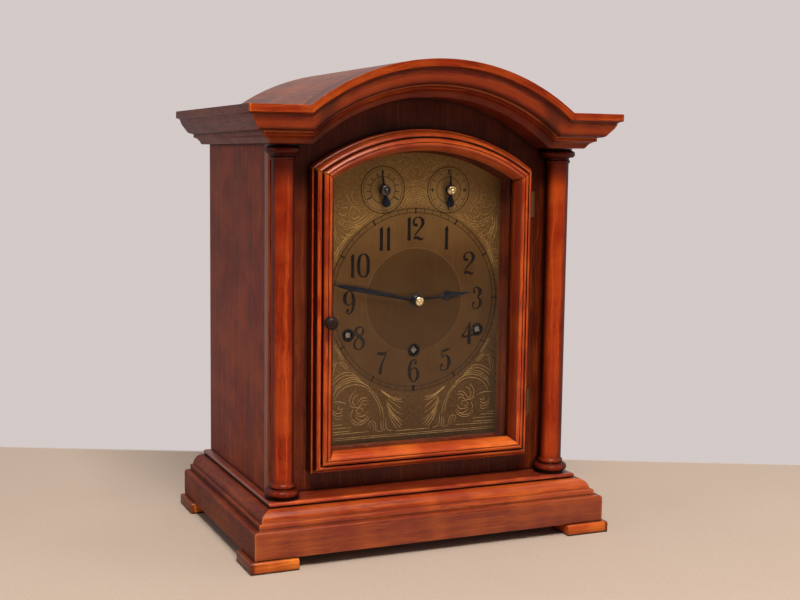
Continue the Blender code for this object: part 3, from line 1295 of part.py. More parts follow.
def hammer(name, index):
    """A hammer: a bored boss on the pin, a wire arm back and down, and a leather-faced head over its rod."""
    x = HAMMER_XS[index]
    rod_y = ROD_Y + ROD_PITCH * index
    half_l = HAMMER_BOSS_L / 2.0
    bore = HAMMER_PIN_R + GAP
    boss = tube("boss", HAMMER_BOSS_R, bore, (HAMMER_AXIS_Y, HAMMER_AXIS_Z), x - half_l, x + half_l, "x", 14)
    head_low = ROD_Z + ROD_R + HAMMER_LIFT_GAP
    head_z = head_low + HAMMER_HEAD_H * 0.63
    thick = HAMMER_WIRE / 2.0
    hub = Vector((HAMMER_AXIS_Y, HAMMER_AXIS_Z))
    end = Vector((rod_y, head_z))
    along = (end - hub).normalized()
    across = Vector((-along.y, along.x)) * thick
    start = hub + along * (HAMMER_BOSS_R + bore) / 2.0
    outline = [tuple(start + across), tuple(end + across), tuple(end - across), tuple(start - across)]
    arm = prism("arm", outline, "x", x - thick, x + thick)
    radius, tall = HAMMER_HEAD_R, HAMMER_HEAD_H
    head = lathe(
        "head", [(radius * 0.6, head_low), (radius, head_low + tall * 0.16), (radius, head_low + tall * 0.89),
                 (radius * 0.7, head_low + tall)], (x, rod_y), "z", 14)
    origin = (x, HAMMER_AXIS_Y, HAMMER_AXIS_Z)
    return finish(fuse(name, [boss, arm, head]), name, STEEL, origin)


def back_frame():
    """The fixed back of the case, with the opening for the back door and its two pivot holes."""
    outline = head_outline(SIDE_INNER_X - GAP, BASE_TOP_Z + GAP)
    board = prism("board", outline, "y", BACK_IN_Y, BACK_OUT_Y)
    half = BACK_OPEN_HALF_W
    opening = box("opening", (-half, BACK_IN_Y - BACK_T, BACK_OPEN_BOTTOM_Z), (half, BACK_OUT_Y + BACK_T, BACK_OPEN_TOP_Z))
    x, y = back_pivot()
    reach = BACK_PIN_LEN + GAP
    hole_r = BACK_PIN_R + GAP
    low = rod("low", hole_r, (x, y), BACK_OPEN_BOTTOM_Z - reach, BACK_OPEN_BOTTOM_Z + reach, "z", 12)
    high = rod("high", hole_r, (x, y), BACK_OPEN_TOP_Z - reach, BACK_OPEN_TOP_Z + reach, "z", 12)
    return finish(carve("back_frame", board, [opening, low, high]), "back_frame", DARK_WOOD)


def back_pivot():
    """The back door's pivot line as (x, y)."""
    radius = BACK_T / 2.0
    return (BACK_OPEN_HALF_W - GAP - radius, BACK_IN_Y + radius)


def back_door():
    """The back door: a board with a round hinge edge and a pin at its top and bottom."""
    x, y = back_pivot()
    radius = BACK_T / 2.0 - GAP / 2.0
    outline = [(-(BACK_OPEN_HALF_W - GAP), y - radius)]
    for k in range(9):
        angle = math.radians(-90.0 + 22.5 * k)
        outline.append((x + radius * math.cos(angle), y + radius * math.sin(angle)))
    outline.append((-(BACK_OPEN_HALF_W - GAP), y + radius))
    low, high = BACK_OPEN_BOTTOM_Z + GAP, BACK_OPEN_TOP_Z - GAP
    board = prism("board", outline, "z", low, high)
    pins = []
    for start, end in ((low - BACK_PIN_LEN, low + BACK_PIN_LEN), (high - BACK_PIN_LEN, high + BACK_PIN_LEN)):
        pins.append(rod("pin", BACK_PIN_R, (x, y), start, end, "z", 12))
    return finish(fuse("back_door", [board, *pins]), "back_door", DARK_WOOD, (x, y, low))


def back_button():
    """The turn button beside the back door, turned clear of it."""
    near = BACK_OUT_Y + GAP
    half_w, half_l = BUTTON_W / 2.0, BUTTON_LEN / 2.0
    outline = []
    for k in range(7):
        angle = math.radians(180.0 * k / 6.0)
        outline.append((BUTTON_X + half_w * math.cos(angle), BUTTON_Z + half_l - half_w + half_w * math.sin(angle)))
    for k in range(7):
        angle = math.radians(180.0 + 180.0 * k / 6.0)
        outline.append((BUTTON_X + half_w * math.cos(angle), BUTTON_Z - half_l + half_w + half_w * math.sin(angle)))
    bar = prism("bar", outline, "y", near, near + BUTTON_T)
    screw = rod("screw", BUTTON_SCREW_R, (BUTTON_X, BUTTON_Z), near + BUTTON_T / 2.0, near + BUTTON_T * 1.6, "y", 12)
    return finish(fuse("back_button", [bar, screw]), "back_button", BRASS, (BUTTON_X, near, BUTTON_Z))


def build_case():
    """The wooden case with its feet, mouldings, columns and back."""
    for side, side_name in ((-1, "left"), (1, "right")):
        foot("foot_front_" + side_name, side, True)
        foot("foot_rear_" + side_name, side, False)
        plinth_side("plinth_" + side_name, side)
        side_panel("side_" + side_name, side)
        column("column_" + side_name, side)
        cornice_side("cornice_" + side_name, side)
    plinth_front()
    base_board()
    front_panel()
    cornice_front()
    roof_board()
    seat_board()
    back_frame()
    back_door()
    back_button()


def build_front_door():
    """The glazed front door and its hardware."""
    door_bottom_rail()
    door_top_rail()
    door_stile("door_stile_left", -1)
    door_stile("door_stile_right", 1)
    door_glass()
    door_knob()
    door_catch()
    door_hinge("hinge_low", HINGE_LOW_Z)
    door_hinge("hinge_high", HINGE_HIGH_Z)


def build_dial():
    """The dial with its hands."""
    dial_plate()
    hour_hand()
    minute_hand()
    hand_nut()
    sub_hand("sub_hand_left", -1, STEEL)
    sub_hand("sub_hand_right", 1, BRASS)


def build_movement():
    """The movement, its pendulum and its chime."""
    phases = train_phases()
    strike_place, going_place, chime_place = wind_places()
    side_module = 2.0 * SIDE_WHEEL_R / SIDE_WHEEL_TEETH
    front_plate()
    rear_plate()
    barrel("going_barrel", going_place, GREAT_TEETH, great_module(), GREAT_WHEEL_Y, BARREL_LEN)
    barrel("strike_barrel", strike_place, SIDE_WHEEL_TEETH, side_module, DRUM_Y, SIDE_BARREL_LEN)
    barrel("chime_barrel", chime_place, SIDE_WHEEL_TEETH, side_module, DRUM_Y, SIDE_BARREL_LEN)
    winding_arbor("going_arbor", going_place)
    winding_arbor("strike_arbor", strike_place)
    winding_arbor("chime_arbor", chime_place)
    centre_wheel(phases)
    third_wheel(phases)
    escape_wheel(phases)
    anchor()
    cannon_pinion()
    minute_wheel()
    hour_wheel()
    suspension_cock()
    pendulum_rod()
    pendulum_bob()
    chime_rods()
    hammer_bracket()
    hammer("hammer_quarter", 0)
    hammer("hammer_hour", 1)


build_case()
build_front_door()
build_dial()
build_movement()
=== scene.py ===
"""The dressed mantel clock: french-polished mahogany, an engraved dial behind glass, blued hands.

Metres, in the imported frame: the dial faces -Y, +X is to the right, and the floor is at z = 0.
"""
import math
from functools import partialmethod

import bmesh
import bpy
from mathutils import Matrix, Vector


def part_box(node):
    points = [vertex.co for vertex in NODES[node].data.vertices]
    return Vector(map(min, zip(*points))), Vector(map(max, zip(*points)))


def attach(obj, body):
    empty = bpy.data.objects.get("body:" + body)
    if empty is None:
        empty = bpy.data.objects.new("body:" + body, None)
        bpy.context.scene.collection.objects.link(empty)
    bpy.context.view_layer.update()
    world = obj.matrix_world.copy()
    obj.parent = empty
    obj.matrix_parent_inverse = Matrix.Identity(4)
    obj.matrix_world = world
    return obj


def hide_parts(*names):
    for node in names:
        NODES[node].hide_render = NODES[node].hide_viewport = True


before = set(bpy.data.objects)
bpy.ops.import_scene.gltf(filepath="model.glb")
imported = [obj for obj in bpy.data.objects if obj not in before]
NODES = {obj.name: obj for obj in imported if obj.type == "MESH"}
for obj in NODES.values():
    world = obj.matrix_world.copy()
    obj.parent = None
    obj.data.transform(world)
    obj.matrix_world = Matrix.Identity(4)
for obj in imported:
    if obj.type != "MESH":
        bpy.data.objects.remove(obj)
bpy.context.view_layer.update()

MM = 0.001
GAP = 0.3 * MM

# The case, in the part's own sizes
HALF_W = 0.146
FRONT_Y = -0.0895
BACK_Y = 0.1235
PANEL_Y = -0.0673
PANEL_BACK_Y = -0.0572
BASE_TOP = 0.054
CORNICE_Z = 0.365
CORNICE_H = 0.0318
CORNICE_OUT = 0.034
ARCH_DROP = 0.1322
ARCH_Z = CORNICE_Z - ARCH_DROP
SHOULDER_X = 0.1153
ARCH_R = math.hypot(SHOULDER_X, ARCH_DROP)
ROOF_R = ARCH_R + CORNICE_H
ROOF_T = 0.008
ROOF_FRONT_Y = -0.0982
SHOULDER_T = 0.0087
COLUMN_X = 0.1365
COLUMN_Y = -0.080
COLUMN_R = 0.0101
COLUMN_TAPER = 0.0001

# The door
DOOR_HALF_W = 0.1094
DOOR_LOW = 0.0722
DOOR_R = 0.187
DOOR_Z = 0.1933
DOOR_W = 0.0194
DOOR_EDGE = 0.0096
DOOR_MOULD = 0.0119
DOOR_BACK = PANEL_Y - GAP
REBATE_W = 0.0158
REBATE_LIP = 0.0090
PULL_R = 0.006
PULL_LENGTH = 0.0125
PULL_AT = (-0.0975, 0.210)

# The dial
DIAL_Y = PANEL_BACK_Y + GAP
DIAL_Z = 0.2229
OPEN_HALF_W = 0.0876
OPEN_LOW = 0.091
OPEN_INSET = 0.0214
OPEN_FLARE = 0.0050
WINDING = ((-0.0661, 0.1927), (0.0, 0.1758), (0.0661, 0.1927))
SUBDIALS = ((-0.0332, 0.325), (0.0332, 0.325))
SUBDIAL_R = 0.0214
DISC_R = 0.0486
NUMERAL_H = 0.0216
MARK_LOW = DIAL_Y - 0.00022
MARK_HIGH = DIAL_Y + 0.0002
CUT_LOW = DIAL_Y - 0.00012
HAND_T = 0.0008
HOUR_REACH = 0.059
MINUTE_REACH = 0.0835
SUB_REACH = 0.0185
PLATE_Y = -0.046

# The wood's figure and painted light: where grain and mitres run, the painted shade at the feet of the hood's
# arch, and the reach of the worn edges that are also painted highlights
ARCH_GRAIN_R = 0.19
SHOULDER_MITRE = 0.36
HOOD_FOOT_X = 0.109
EDGE_REACH = 0.0018

SIDES = ((-1, "left"), (1, "right"))


def set_camera():
    """The photograph's camera, fitted to the object."""
    yaw, pitch, roll = 0.4148, -0.112, 0.0132
    data = bpy.data.cameras.new("camera")
    data.sensor_width = 36.0
    data.lens = 56.79
    data.clip_start = 0.01
    data.clip_end = 60.0
    camera = bpy.data.objects.new("camera", data)
    bpy.context.scene.collection.objects.link(camera)
    camera.matrix_world = Matrix.Translation((-0.4828, -1.1197, 0.354))
    for angle, axis in ((-yaw, "Z"), (0.5 * math.pi + pitch, "X"), (roll, "Z")):
        camera.matrix_world @= Matrix.Rotation(angle, 4, axis)
    bpy.context.scene.camera = camera


class Shade:
    """Puts a node tree together, a material's or the world's."""

    def __init__(self, owner):
        owner.use_nodes = True
        self.owner = owner
        self.tree = owner.node_tree
        self.shader = self.tree.nodes.get("Principled BSDF")

    def feed(self, socket, value):
        """Links or sets a socket; a colour may leave out its last number."""
        if isinstance(value, bpy.types.NodeSocket):
            self.tree.links.new(value, socket)
        elif isinstance(value, tuple) and socket.type == "RGBA":
            socket.default_value = (*value, 1.0)[:4]
        else:
            socket.default_value = value

    def node(self, kind, inputs=None, **settings):
        """Makes a node and hands over its outputs."""
        new = self.tree.nodes.new(kind)
        for key, value in settings.items():
            setattr(new, key, value)
        for key, value in (inputs or {}).items():
            self.feed(new.inputs[key], value)
        return new.outputs

    def math(self, operation, a, b=0.0, clamp=False):
        """A value worked out from others."""
        return self.node("ShaderNodeMath", {0: a, 1: b}, operation=operation, use_clamp=clamp)[0]

    plus = partialmethod(math, "ADD")
    minus = partialmethod(math, "SUBTRACT")
    times = partialmethod(math, "MULTIPLY")

    def off(self, a, b=0.0):
        """How far a is from b, without its sign."""
        return self.math("ABSOLUTE", self.minus(a, b))

    def squares(self, a, b):
        """a squared and b squared, added."""
        return self.plus(self.times(a, a), self.times(b, b))

    def reach(self, a, b):
        """The distance that two sides give."""
        return self.math("POWER", self.squares(a, b), 0.5)

    def remap(self, value, low, high, to_low=0.0, to_high=1.0, **settings):
        """A value moved from one range to another, and held there."""
        inputs = {"Value": value, 1: low, 2: high, 3: to_low, 4: to_high}
        return self.node("ShaderNodeMapRange", inputs, clamp=True, **settings)[0]

    def mix(self, share, a, b, kind="RGBA"):
        """A colour or vector between two."""
        new = self.tree.nodes.new("ShaderNodeMix")
        new.data_type = kind
        for socket, value in zip([s for s in new.inputs if s.enabled], (share, a, b)):
            self.feed(socket, value)
        return [s for s in new.outputs if s.enabled][0]

    def layers(self, base, steps):
        """Lays colours over another in turn: (value, where it starts, where it is full, share, colour)."""
        for value, low, high, share, colour in steps:
            base = self.mix(self.remap(value, low, high, 0.0, share), base, colour)
        return base

    def join_shaders(self, share, a, b):
        """A shader between two."""
        return self.node("ShaderNodeMixShader", {0: share, 1: a, 2: b})[0]

    def place(self):
        """The point on the object, in the row frame."""
        return self.node("ShaderNodeTexCoord")["Object"]

    def split(self, vector):
        """A vector's three numbers."""
        return self.node("ShaderNodeSeparateXYZ", {0: vector})[:3]

    def join(self, x, y, z):
        """Three numbers as a vector."""
        return self.node("ShaderNodeCombineXYZ", {0: x, 1: y, 2: z})[0]

    def stretch(self, vector, scale, shift=(0.0, 0.0, 0.0)):
        """A vector scaled along each axis."""
        return self.node("ShaderNodeMapping", {"Vector": vector, "Scale": scale, "Location": shift})[0]

    def noise(self, vector, scale=1.0, detail=2.0, roughness=0.5):
        """Cloudy noise from 0 to 1."""
        inputs = {"Vector": vector, "Scale": scale, "Detail": detail, "Roughness": roughness}
        return self.node("ShaderNodeTexNoise", inputs)[0]

    def facing(self):
        """0 where the surface faces the eye, 1 where it turns away."""
        return self.node("ShaderNodeLayerWeight", {"Blend": 0.5})["Facing"]

    def bump(self, height, strength, distance, **under):
        """A bump for the shader, on top of another if given."""
        inputs = {"Height": height, "Strength": strength, "Distance": distance, **under}
        return self.node("ShaderNodeBump", inputs)[0]

    def finish(self, **values):
        """Feeds the shader's sockets and hands over the material."""
        for key, value in values.items():
            self.feed(self.shader.inputs[key.replace("_", " ").title().replace("Ior", "IOR")], value)
        return self.owner


def new_shade(name):
    """A new material to put together."""
    return Shade(bpy.data.materials.new(name))


def scaled(colour, factor, most=10.0):
    """A colour brightened or darkened, up to a limit."""
    return tuple(min(most, factor * c) for c in colour)


# Colours as linear red, green and blue
WALL = (0.655, 0.590, 0.580)
WOOD_DARK = (0.088, 0.0068, 0.0015)
WOOD_BODY = (0.310, 0.0280, 0.0034)
WOOD_PALE = (0.740, 0.1500, 0.0160)
# Painted shade at the feet of the hood's arch
ARCH_FOOT_SHADE = (0.026, 0.0035, 0.0014)
# Painted shade in the wood's hollows and creases
HOLLOW_SHADE = (0.008, 0.0018, 0.0010)
# Painted shade in the door stiles' grooves
GROOVE_SHADE = (0.006, 0.0012, 0.0008)
# Painted light on the front board's side edges
LIT_EDGE = (0.260, 0.075, 0.040)
WHITE = (1.0, 1.0, 1.0)

# Lamps: place, size across, power and colour
LAMPS = {
    "key": ((-0.28, -1.40, 2.15), 0.85, 70.0, (1.0, 0.97, 0.92)),
    "right": ((1.7, -0.9, 0.9), 1.2, 7.0, (1.0, 0.96, 0.92)),
    "top": ((0.0, 0.1, 2.2), 1.6, 13.0, WHITE),
    "left": ((-2.3, -0.2, 1.0), 1.4, 6.0, (0.97, 0.98, 1.0)),
}
LAMPS_AIM = Vector((0.0, 0.0, 0.2))


def set_studio():
    """A pale room: soft lamps, a pale wall all round, and for reflections a darker room in front of the clock."""
    world = bpy.data.worlds.new("studio")
    bpy.context.scene.world = world
    room = Shade(world)
    room.tree.nodes.clear()
    path = room.node("ShaderNodeLightPath")
    depth = room.split(room.node("ShaderNodeTexCoord")["Generated"])[1]
    behind = room.remap(depth, -0.45, 0.25, interpolation_type="SMOOTHSTEP")
    mirrored = room.node("ShaderNodeBackground", {"Color": room.mix(behind, (0.060, 0.050, 0.045), WALL)})[0]
    light = room.node("ShaderNodeBackground", {"Color": (1.0, 0.965, 0.94), "Strength": 0.21})[0]
    wall = room.node("ShaderNodeBackground", {"Color": WALL})[0]
    direct = room.math("ADD", path["Is Camera Ray"], path["Is Transmission Ray"], True)
    seen = room.join_shaders(direct, room.join_shaders(path["Is Glossy Ray"], light, mirrored), wall)
    room.node("ShaderNodeOutputWorld", {"Surface": seen})
    for name, (place, size, power, colour) in LAMPS.items():
        data = bpy.data.lights.new(name, "AREA")
        data.size = size
        data.energy = power
        data.color = colour
        lamp = bpy.data.objects.new(name, data)
        lamp.location = place
        lamp.rotation_euler = (LAMPS_AIM - Vector(place)).to_track_quat("-Z", "Y").to_euler()
        bpy.context.scene.collection.objects.link(lamp)


def add_floor():
    """A plain pale surface: beige where the clock stands, and beyond its far edge the colour of the wall."""
    mesh = bpy.data.meshes.new("floor")
    far = 9.0
    mesh.from_pydata([(-far, -far, 0.0), (far, -far, 0.0), (far, far, 0.0), (-far, far, 0.0)], [], [(0, 1, 2, 3)])
    floor = bpy.data.objects.new("floor", mesh)
    bpy.context.scene.collection.objects.link(floor)
    shade = new_shade("floor")
    place = shade.place()
    x, y, _ = shade.split(place)
    beyond = shade.remap(shade.plus(shade.times(x, 0.44), shade.times(y, 0.90)), 0.258, 0.266)
    stone = shade.layers((0.450, 0.345, 0.272), [
        (shade.noise(place, 420.0, 2.0), 0.35, 0.7, 1.0, (0.490, 0.385, 0.310)),
        (shade.noise(place, 9.0, 3.0), 0.35, 0.7, 0.20, (0.44, 0.31, 0.24)), (beyond, 0.0, 1.0, 1.0, WALL)])
    shade.finish(base_color=stone, roughness=0.8)
    path = shade.node("ShaderNodeLightPath")
    camera = path["Is Camera Ray"]
    seen = shade.math("ADD", shade.plus(camera, path["Is Glossy Ray"]), path["Is Transmission Ray"], True)
    distant = shade.times(shade.remap(shade.squares(x, y), 1.0, 6.5), camera)
    share = shade.math("MAXIMUM", shade.times(seen, beyond), distant)
    glow = shade.node("ShaderNodeEmission", {"Color": WALL})[0]
    whole = shade.join_shaders(share, shade.shader.outputs[0], glow)
    shade.feed(shade.tree.nodes["Material Output"].inputs["Surface"], whole)
    floor.data.materials.append(shade.owner)


def grain_place(shade, run):
    """The point with its third number along the grain: run is x, y, z, or the centre height of an arch."""
    x, y, z = shade.split(shade.place())
    straight = {"x": (y, z, x), "y": (x, z, y), "z": (x, y, z)}
    if run in straight:
        return shade.join(*straight[run])
    rise = shade.minus(z, run)
    bent = shade.join(shade.reach(x, rise), y, shade.times(shade.math("ARCTAN2", x, rise), ARCH_GRAIN_R))
    if run != ARCH_Z:
        return bent
    aside = shade.minus(shade.off(x), SHOULDER_X)
    mitre = shade.times(shade.minus(z, CORNICE_Z), SHOULDER_MITRE)
    return shade.mix(shade.math("GREATER_THAN", aside, mitre), bent, shade.join(y, z, x), "VECTOR")


def hood_steps(shade, x, z, levels):
    """Painted shade and painted highlights as lines along the hood's moulding: (height up its profile, half width,
    share, colour); and painted shade where the arch's moulding meets the shoulders.
    """
    radius = shade.minus(shade.reach(x, shade.minus(z, ARCH_Z)), ARCH_R)
    rise = shade.math("MINIMUM", radius, shade.minus(z, CORNICE_Z))
    steps = [(shade.off(rise, level), half, 0.3 * half, amount, colour) for level, half, amount, colour in levels]
    # Painted shade at the feet of the arch, on the arch's side of the mitre, below the top band
    at_foot = shade.remap(shade.off(shade.off(x), HOOD_FOOT_X), 0.013, 0.004)
    steps.append((shade.times(at_foot, shade.remap(rise, 0.0250, 0.0225)), 0.0, 1.0, 0.66, ARCH_FOOT_SHADE))
    return steps


def mahogany(name, run, seed, tone, coat, gloss, figure=1.0, mirror=0.24, wear=0.75, tint=WHITE, coat_gloss=0.16,
             hollow_reach=0.004, rim_shade=0.25, turn=(0.15, 0.80), dims=(), groove_shades=(), levels=(), strip=False):
    """Polished mahogany: bands, streaks and pores along the grain, with painted shade in the hollows, at the rims,
    in given grooves and by place, and worn edges that are also painted highlights.
    """
    shade = new_shade(name)
    x, y, z = shade.split(shade.place())
    place = grain_place(shade, run)
    shift = (seed * 0.371, seed * 0.613, seed * 0.257)
    sway = shade.node("ShaderNodeTexNoise", {"Vector": shade.stretch(place, (8.0, 8.0, 5.0), shift)})["Color"]
    sway = shade.node("ShaderNodeVectorMath", {0: sway, 1: (0.006, 0.006, 0.0)}, operation="MULTIPLY")[0]
    warped = shade.node("ShaderNodeVectorMath", {0: place, 1: sway}, operation="ADD")[0]
    bands = shade.noise(shade.stretch(warped, (55.0, 55.0, 2.2), shift), 1.0, 4.0, 0.55)
    streaks = shade.noise(shade.stretch(warped, (420.0, 420.0, 7.0), shift), 1.0, 3.0, 0.6)
    pores = shade.noise(shade.stretch(warped, (1500.0, 1500.0, 75.0), shift), 1.0, 1.0)
    ripple = shade.noise(shade.stretch(place, (20.0, 20.0, 28.0), shift), 1.0, 2.0)
    dark, body, pale = (
        tuple(c * tone * t for c, t in zip(wood, tint)) for wood in (WOOD_DARK, WOOD_BODY, WOOD_PALE))
    deep = scaled(dark, 0.35)
    # The facing also gives painted shade at the rims, where the surface turns from the eye
    facing = shade.facing()
    # Painted shade in hollows and creases, from ambient occlusion
    crease_shade = shade.node("ShaderNodeAmbientOcclusion", {"Distance": hollow_reach}, samples=8)["AO"]
    places = {"x": shade.off(x), "y": y, "z": z}
    spread = 0.22 / figure
    steps = [
        (bands, 0.50 - spread, 0.50 + spread, 1.0, body), (streaks, 0.50, 0.82, min(1.0, 0.9 * figure), pale),
        (streaks, 0.42, 0.22, 0.55 * figure, dark), (pores, 0.60, 0.72, 0.70, deep),
        (ripple, 0.42, 0.75, 0.26, pale)]
    # Darker by place, one zone per entry in dims: painted shade for most pieces, as the woods' table notes
    steps += [(places[axis], start, end, amount, scaled(dark, 0.5)) for axis, start, end, amount in dims]
    # Painted shade along the given grooves of the door stiles
    steps += [(shade.off(places["x"], middle), half, 0.6 * half, amount, GROOVE_SHADE)
              for middle, half, amount in groove_shades]
    if levels:
        steps += hood_steps(shade, x, z, levels)
    # Painted light: the board's side edges lighter, as if lit
    if strip:
        steps.append((places["x"], HALF_W - 0.0009, HALF_W - 0.0004, 1.0, LIT_EDGE))
    steps += [(facing, *turn, rim_shade, deep), (crease_shade, 0.86, 0.46, 0.97, HOLLOW_SHADE)]
    # Worn edges, lightened: real wear, and also painted highlights along the edges
    edge = shade.node("ShaderNodeAmbientOcclusion", {"Distance": EDGE_REACH}, samples=6, inside=True)["AO"]
    wear_and_highlight = shade.times(shade.remap(edge, 0.60, 0.20), shade.remap(ripple, 0.40, 0.62, 0.2 * wear, wear))
    polish = shade.plus(shade.remap(pores, 0.55, 0.72, 0.0, 0.14),
                        shade.remap(bands, 0.2, 0.8, gloss - 0.04, gloss + 0.05))
    return shade.finish(
        base_color=shade.mix(wear_and_highlight, shade.layers(dark, steps), scaled(pale, 1.35, 0.9)),
        roughness=shade.plus(polish, shade.remap(facing, 0.45, 0.95, 0.0, 0.45 * rim_shade)),
        normal=shade.bump(streaks, 0.08, 0.0005, Normal=shade.bump(pores, 0.10, 0.0002)), coat_weight=coat,
        coat_roughness=coat_gloss, specular_ior_level=mirror)


def metal(name, colour, rough, grain_scale=(900.0, 40.0, 900.0), wear=0.25):
    """Brushed metal with faint stains."""
    shade = new_shade(name)
    place = shade.place()
    brushed = shade.noise(shade.stretch(place, grain_scale), 1.0, 2.0)
    cloud = shade.noise(place, 70.0, 4.0, 0.6)
    base = shade.layers(colour, [
        (brushed, 0.3, 0.7, 0.25, scaled(colour, 1.25, 1.0)), (cloud, 0.52, 0.78, wear, (0.05, 0.03, 0.01))])
    return shade.finish(
        base_color=base, metallic=1.0, roughness=shade.plus(shade.remap(cloud, 0.3, 0.8, 0.0, 0.12), rough),
        normal=shade.bump(brushed, 0.06, 0.0001))


def mottled(name, scale, low, high, colours, bump=0.0, **finish):
    """A colour that clouds into another."""
    shade = new_shade(name)
    cloud = shade.noise(shade.place(), scale, 3.0)
    if bump:
        finish["normal"] = shade.bump(cloud, bump, 0.0002)
    return shade.finish(base_color=shade.layers(colours[0], [(cloud, low, high, 1.0, colours[1])]), **finish)


def clear_glass(name):
    """Old clear glass: a mirror as faint as glass is from the front, with a trace of dust and ripple."""
    shade = new_shade(name)
    place = shade.place()
    dust = shade.remap(shade.noise(place, 38.0, 5.0, 0.7), 0.5, 0.9, 0.0, 0.006)
    gloss = shade.plus(shade.times(shade.math("POWER", shade.facing(), 5.0), 0.965), 0.035)
    return shade.finish(
        base_color=(0.93, 0.95, 0.94), metallic=1.0, roughness=0.035,
        alpha=shade.math("ADD", shade.times(gloss, 0.34), dust, True),
        normal=shade.bump(shade.noise(place, 9.0, 2.0), 0.05, 0.004))


def dial_metal(name):
    """Old lacquered brass: a brushed darker middle disc, brown patches, brighter towards the left and the top."""
    shade = new_shade(name)
    place = shade.place()
    x, _, z = shade.split(place)
    radius = shade.reach(x, shade.minus(z, DIAL_Z))
    upright = shade.noise(shade.stretch(place, (900.0, 900.0, 26.0)), 1.0, 2.0)
    cloud = shade.noise(place, 24.0, 4.0, 0.6)
    fine = shade.noise(place, 420.0, 2.0)
    matt = shade.times(shade.remap(radius, 0.0862, 0.0868), shade.remap(z, 0.30, 0.14, 0.50, 0.38))
    sub_x, sub_z = SUBDIALS[1]
    small = shade.squares(shade.off(shade.off(x), sub_x), shade.minus(z, sub_z))
    base = shade.layers((0.140, 0.061, 0.017), [
        (cloud, 0.35, 0.70, 1.0, (0.225, 0.112, 0.034)), (upright, 0.35, 0.75, 0.35, (0.290, 0.165, 0.060)),
        (fine, 0.62, 0.80, 0.45, (0.10, 0.045, 0.016)),
        (shade.times(matt, shade.remap(fine, 0.42, 0.62)), 0.0, 1.0, 1.0, (0.46, 0.29, 0.10)),
        (radius, DISC_R, DISC_R - 0.0004, 0.45, (0.055, 0.026, 0.009)),
        (shade.off(radius, DISC_R), 0.0006, 0.0002, 0.28, (0.40, 0.26, 0.11)),
        (z, 0.29, 0.12, 0.68, (0.060, 0.027, 0.008)), (x, 0.0, -0.080, 0.10, (0.34, 0.18, 0.050)),
        (z, 0.26, 0.32, 0.42, (0.44, 0.255, 0.085)), (small, 0.00043, 0.00038, 0.30, (0.52, 0.34, 0.13))])
    return shade.finish(
        base_color=base, metallic=0.85, roughness=shade.remap(cloud, 0.3, 0.7, 0.36, 0.46),
        normal=shade.bump(upright, 0.12, 0.0001))


class Shell:
    """Collects closed forms into one mesh."""

    def __init__(self):
        self.verts = []
        self.faces = []

    def loft(self, rings, closed=False):
        """Skins a row of rings with the same number of points; its ends are capped unless it closes on itself."""
        count = len(rings[0])
        total = len(rings) * count
        faces = []
        for a in range(0, total if closed else total - count, count):
            b = (a + count) % total
            faces += [(a + n, a + (n + 1) % count, b + (n + 1) % count, b + n) for n in range(count)]
        if not closed:
            faces += [tuple(range(count)), tuple(range(total - count, total))]
        start = len(self.verts)
        self.faces += [tuple(start + k for k in face) for face in faces]
        self.verts += [point for ring in rings for point in ring]
        return self

    def prism(self, outline, low, high):
        """An (x, z) outline between two depths."""
        return self.loft([[(x, y, z) for x, z in outline] for y in (low, high)])

    def box(self, low, high):
        """A block between two corners."""
        return self.prism(rectangle(low[0], low[2], high[0], high[2]), low[1], high[1])

    def lathe(self, profile, centre, steps=48, upright=False):
        """Turns (radius, along) points about a fore-and-aft or upright axis."""
        rings = []
        for radius, along in profile:
            ring = circle(centre, radius, steps)
            rings.append([(u, v, along) if upright else (u, along, v) for u, v in ring])
        return self.loft(rings)

    def collar(self, centre, section, steps=48):
        """A ring about a fore-and-aft axis from a (radius, depth) section."""
        turned = [circle(centre, radius, steps) for radius, _ in section]
        rings = [[(ring[k][0], y, ring[k][1]) for ring, (_, y) in zip(turned, section)] for k in range(steps)]
        return self.loft(rings, closed=True)

    def ribbon(self, path, low, high, widths, top=0.45):
        """A raised line along a path, its top a share of its width."""
        rings = []
        for k, (x, z) in enumerate(path):
            before = path[max(0, k - 1)]
            after = path[min(len(path) - 1, k + 1)]
            dx, dz = after[0] - before[0], after[1] - before[1]
            half = (widths[k] if isinstance(widths, list) else widths) / 2.0
            share = half / (math.hypot(dx, dz) or 1.0)
            rings.append([(x - dz * share * side * out, y, z + dx * share * side * out)
                          for side, out, y in ((1, 1.0, high), (1, top, low), (-1, top, low), (-1, 1.0, high))])
        return self.loft(rings)

    def dress(self, name, material, stands_for=(), soft=0.0, sharp_deg=38.0, body="case", slot="mahogany"):
        """Makes the forms a piece: its material, the nodes that it stands for, and its body; slot is not used."""
        mesh = bpy.data.meshes.new(name)
        mesh.from_pydata(self.verts, [], self.faces)
        mesh.validate()
        shaped = bmesh.new()
        shaped.from_mesh(mesh)
        bmesh.ops.recalc_face_normals(shaped, faces=shaped.faces)
        shaped.to_mesh(mesh)
        shaped.free()
        for face in mesh.polygons:
            face.use_smooth = True
        mesh.set_sharp_from_angle(angle=math.radians(sharp_deg))
        mesh.materials.append(material)
        piece = bpy.data.objects.new(name, mesh)
        bpy.context.scene.collection.objects.link(piece)
        if soft > 0.0:
            bevel = piece.modifiers.new("soft_edges", "BEVEL")
            bevel.width = soft
            bevel.segments = 2
            bevel.limit_method = "ANGLE"
            bevel.angle_limit = math.radians(sharp_deg)
            bevel.harden_normals = True
        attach(piece, body)
        if stands_for:
            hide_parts(*stands_for)


def polar(centre, radius, degrees):
    """A point about a centre, its angle from the right."""
    a = math.radians(degrees)
    return (centre[0] + radius * math.cos(a), centre[1] + radius * math.sin(a))


def circle(centre, radius, steps):
    """Points all round a centre."""
    return [polar(centre, radius, 360.0 * k / steps) for k in range(steps)]


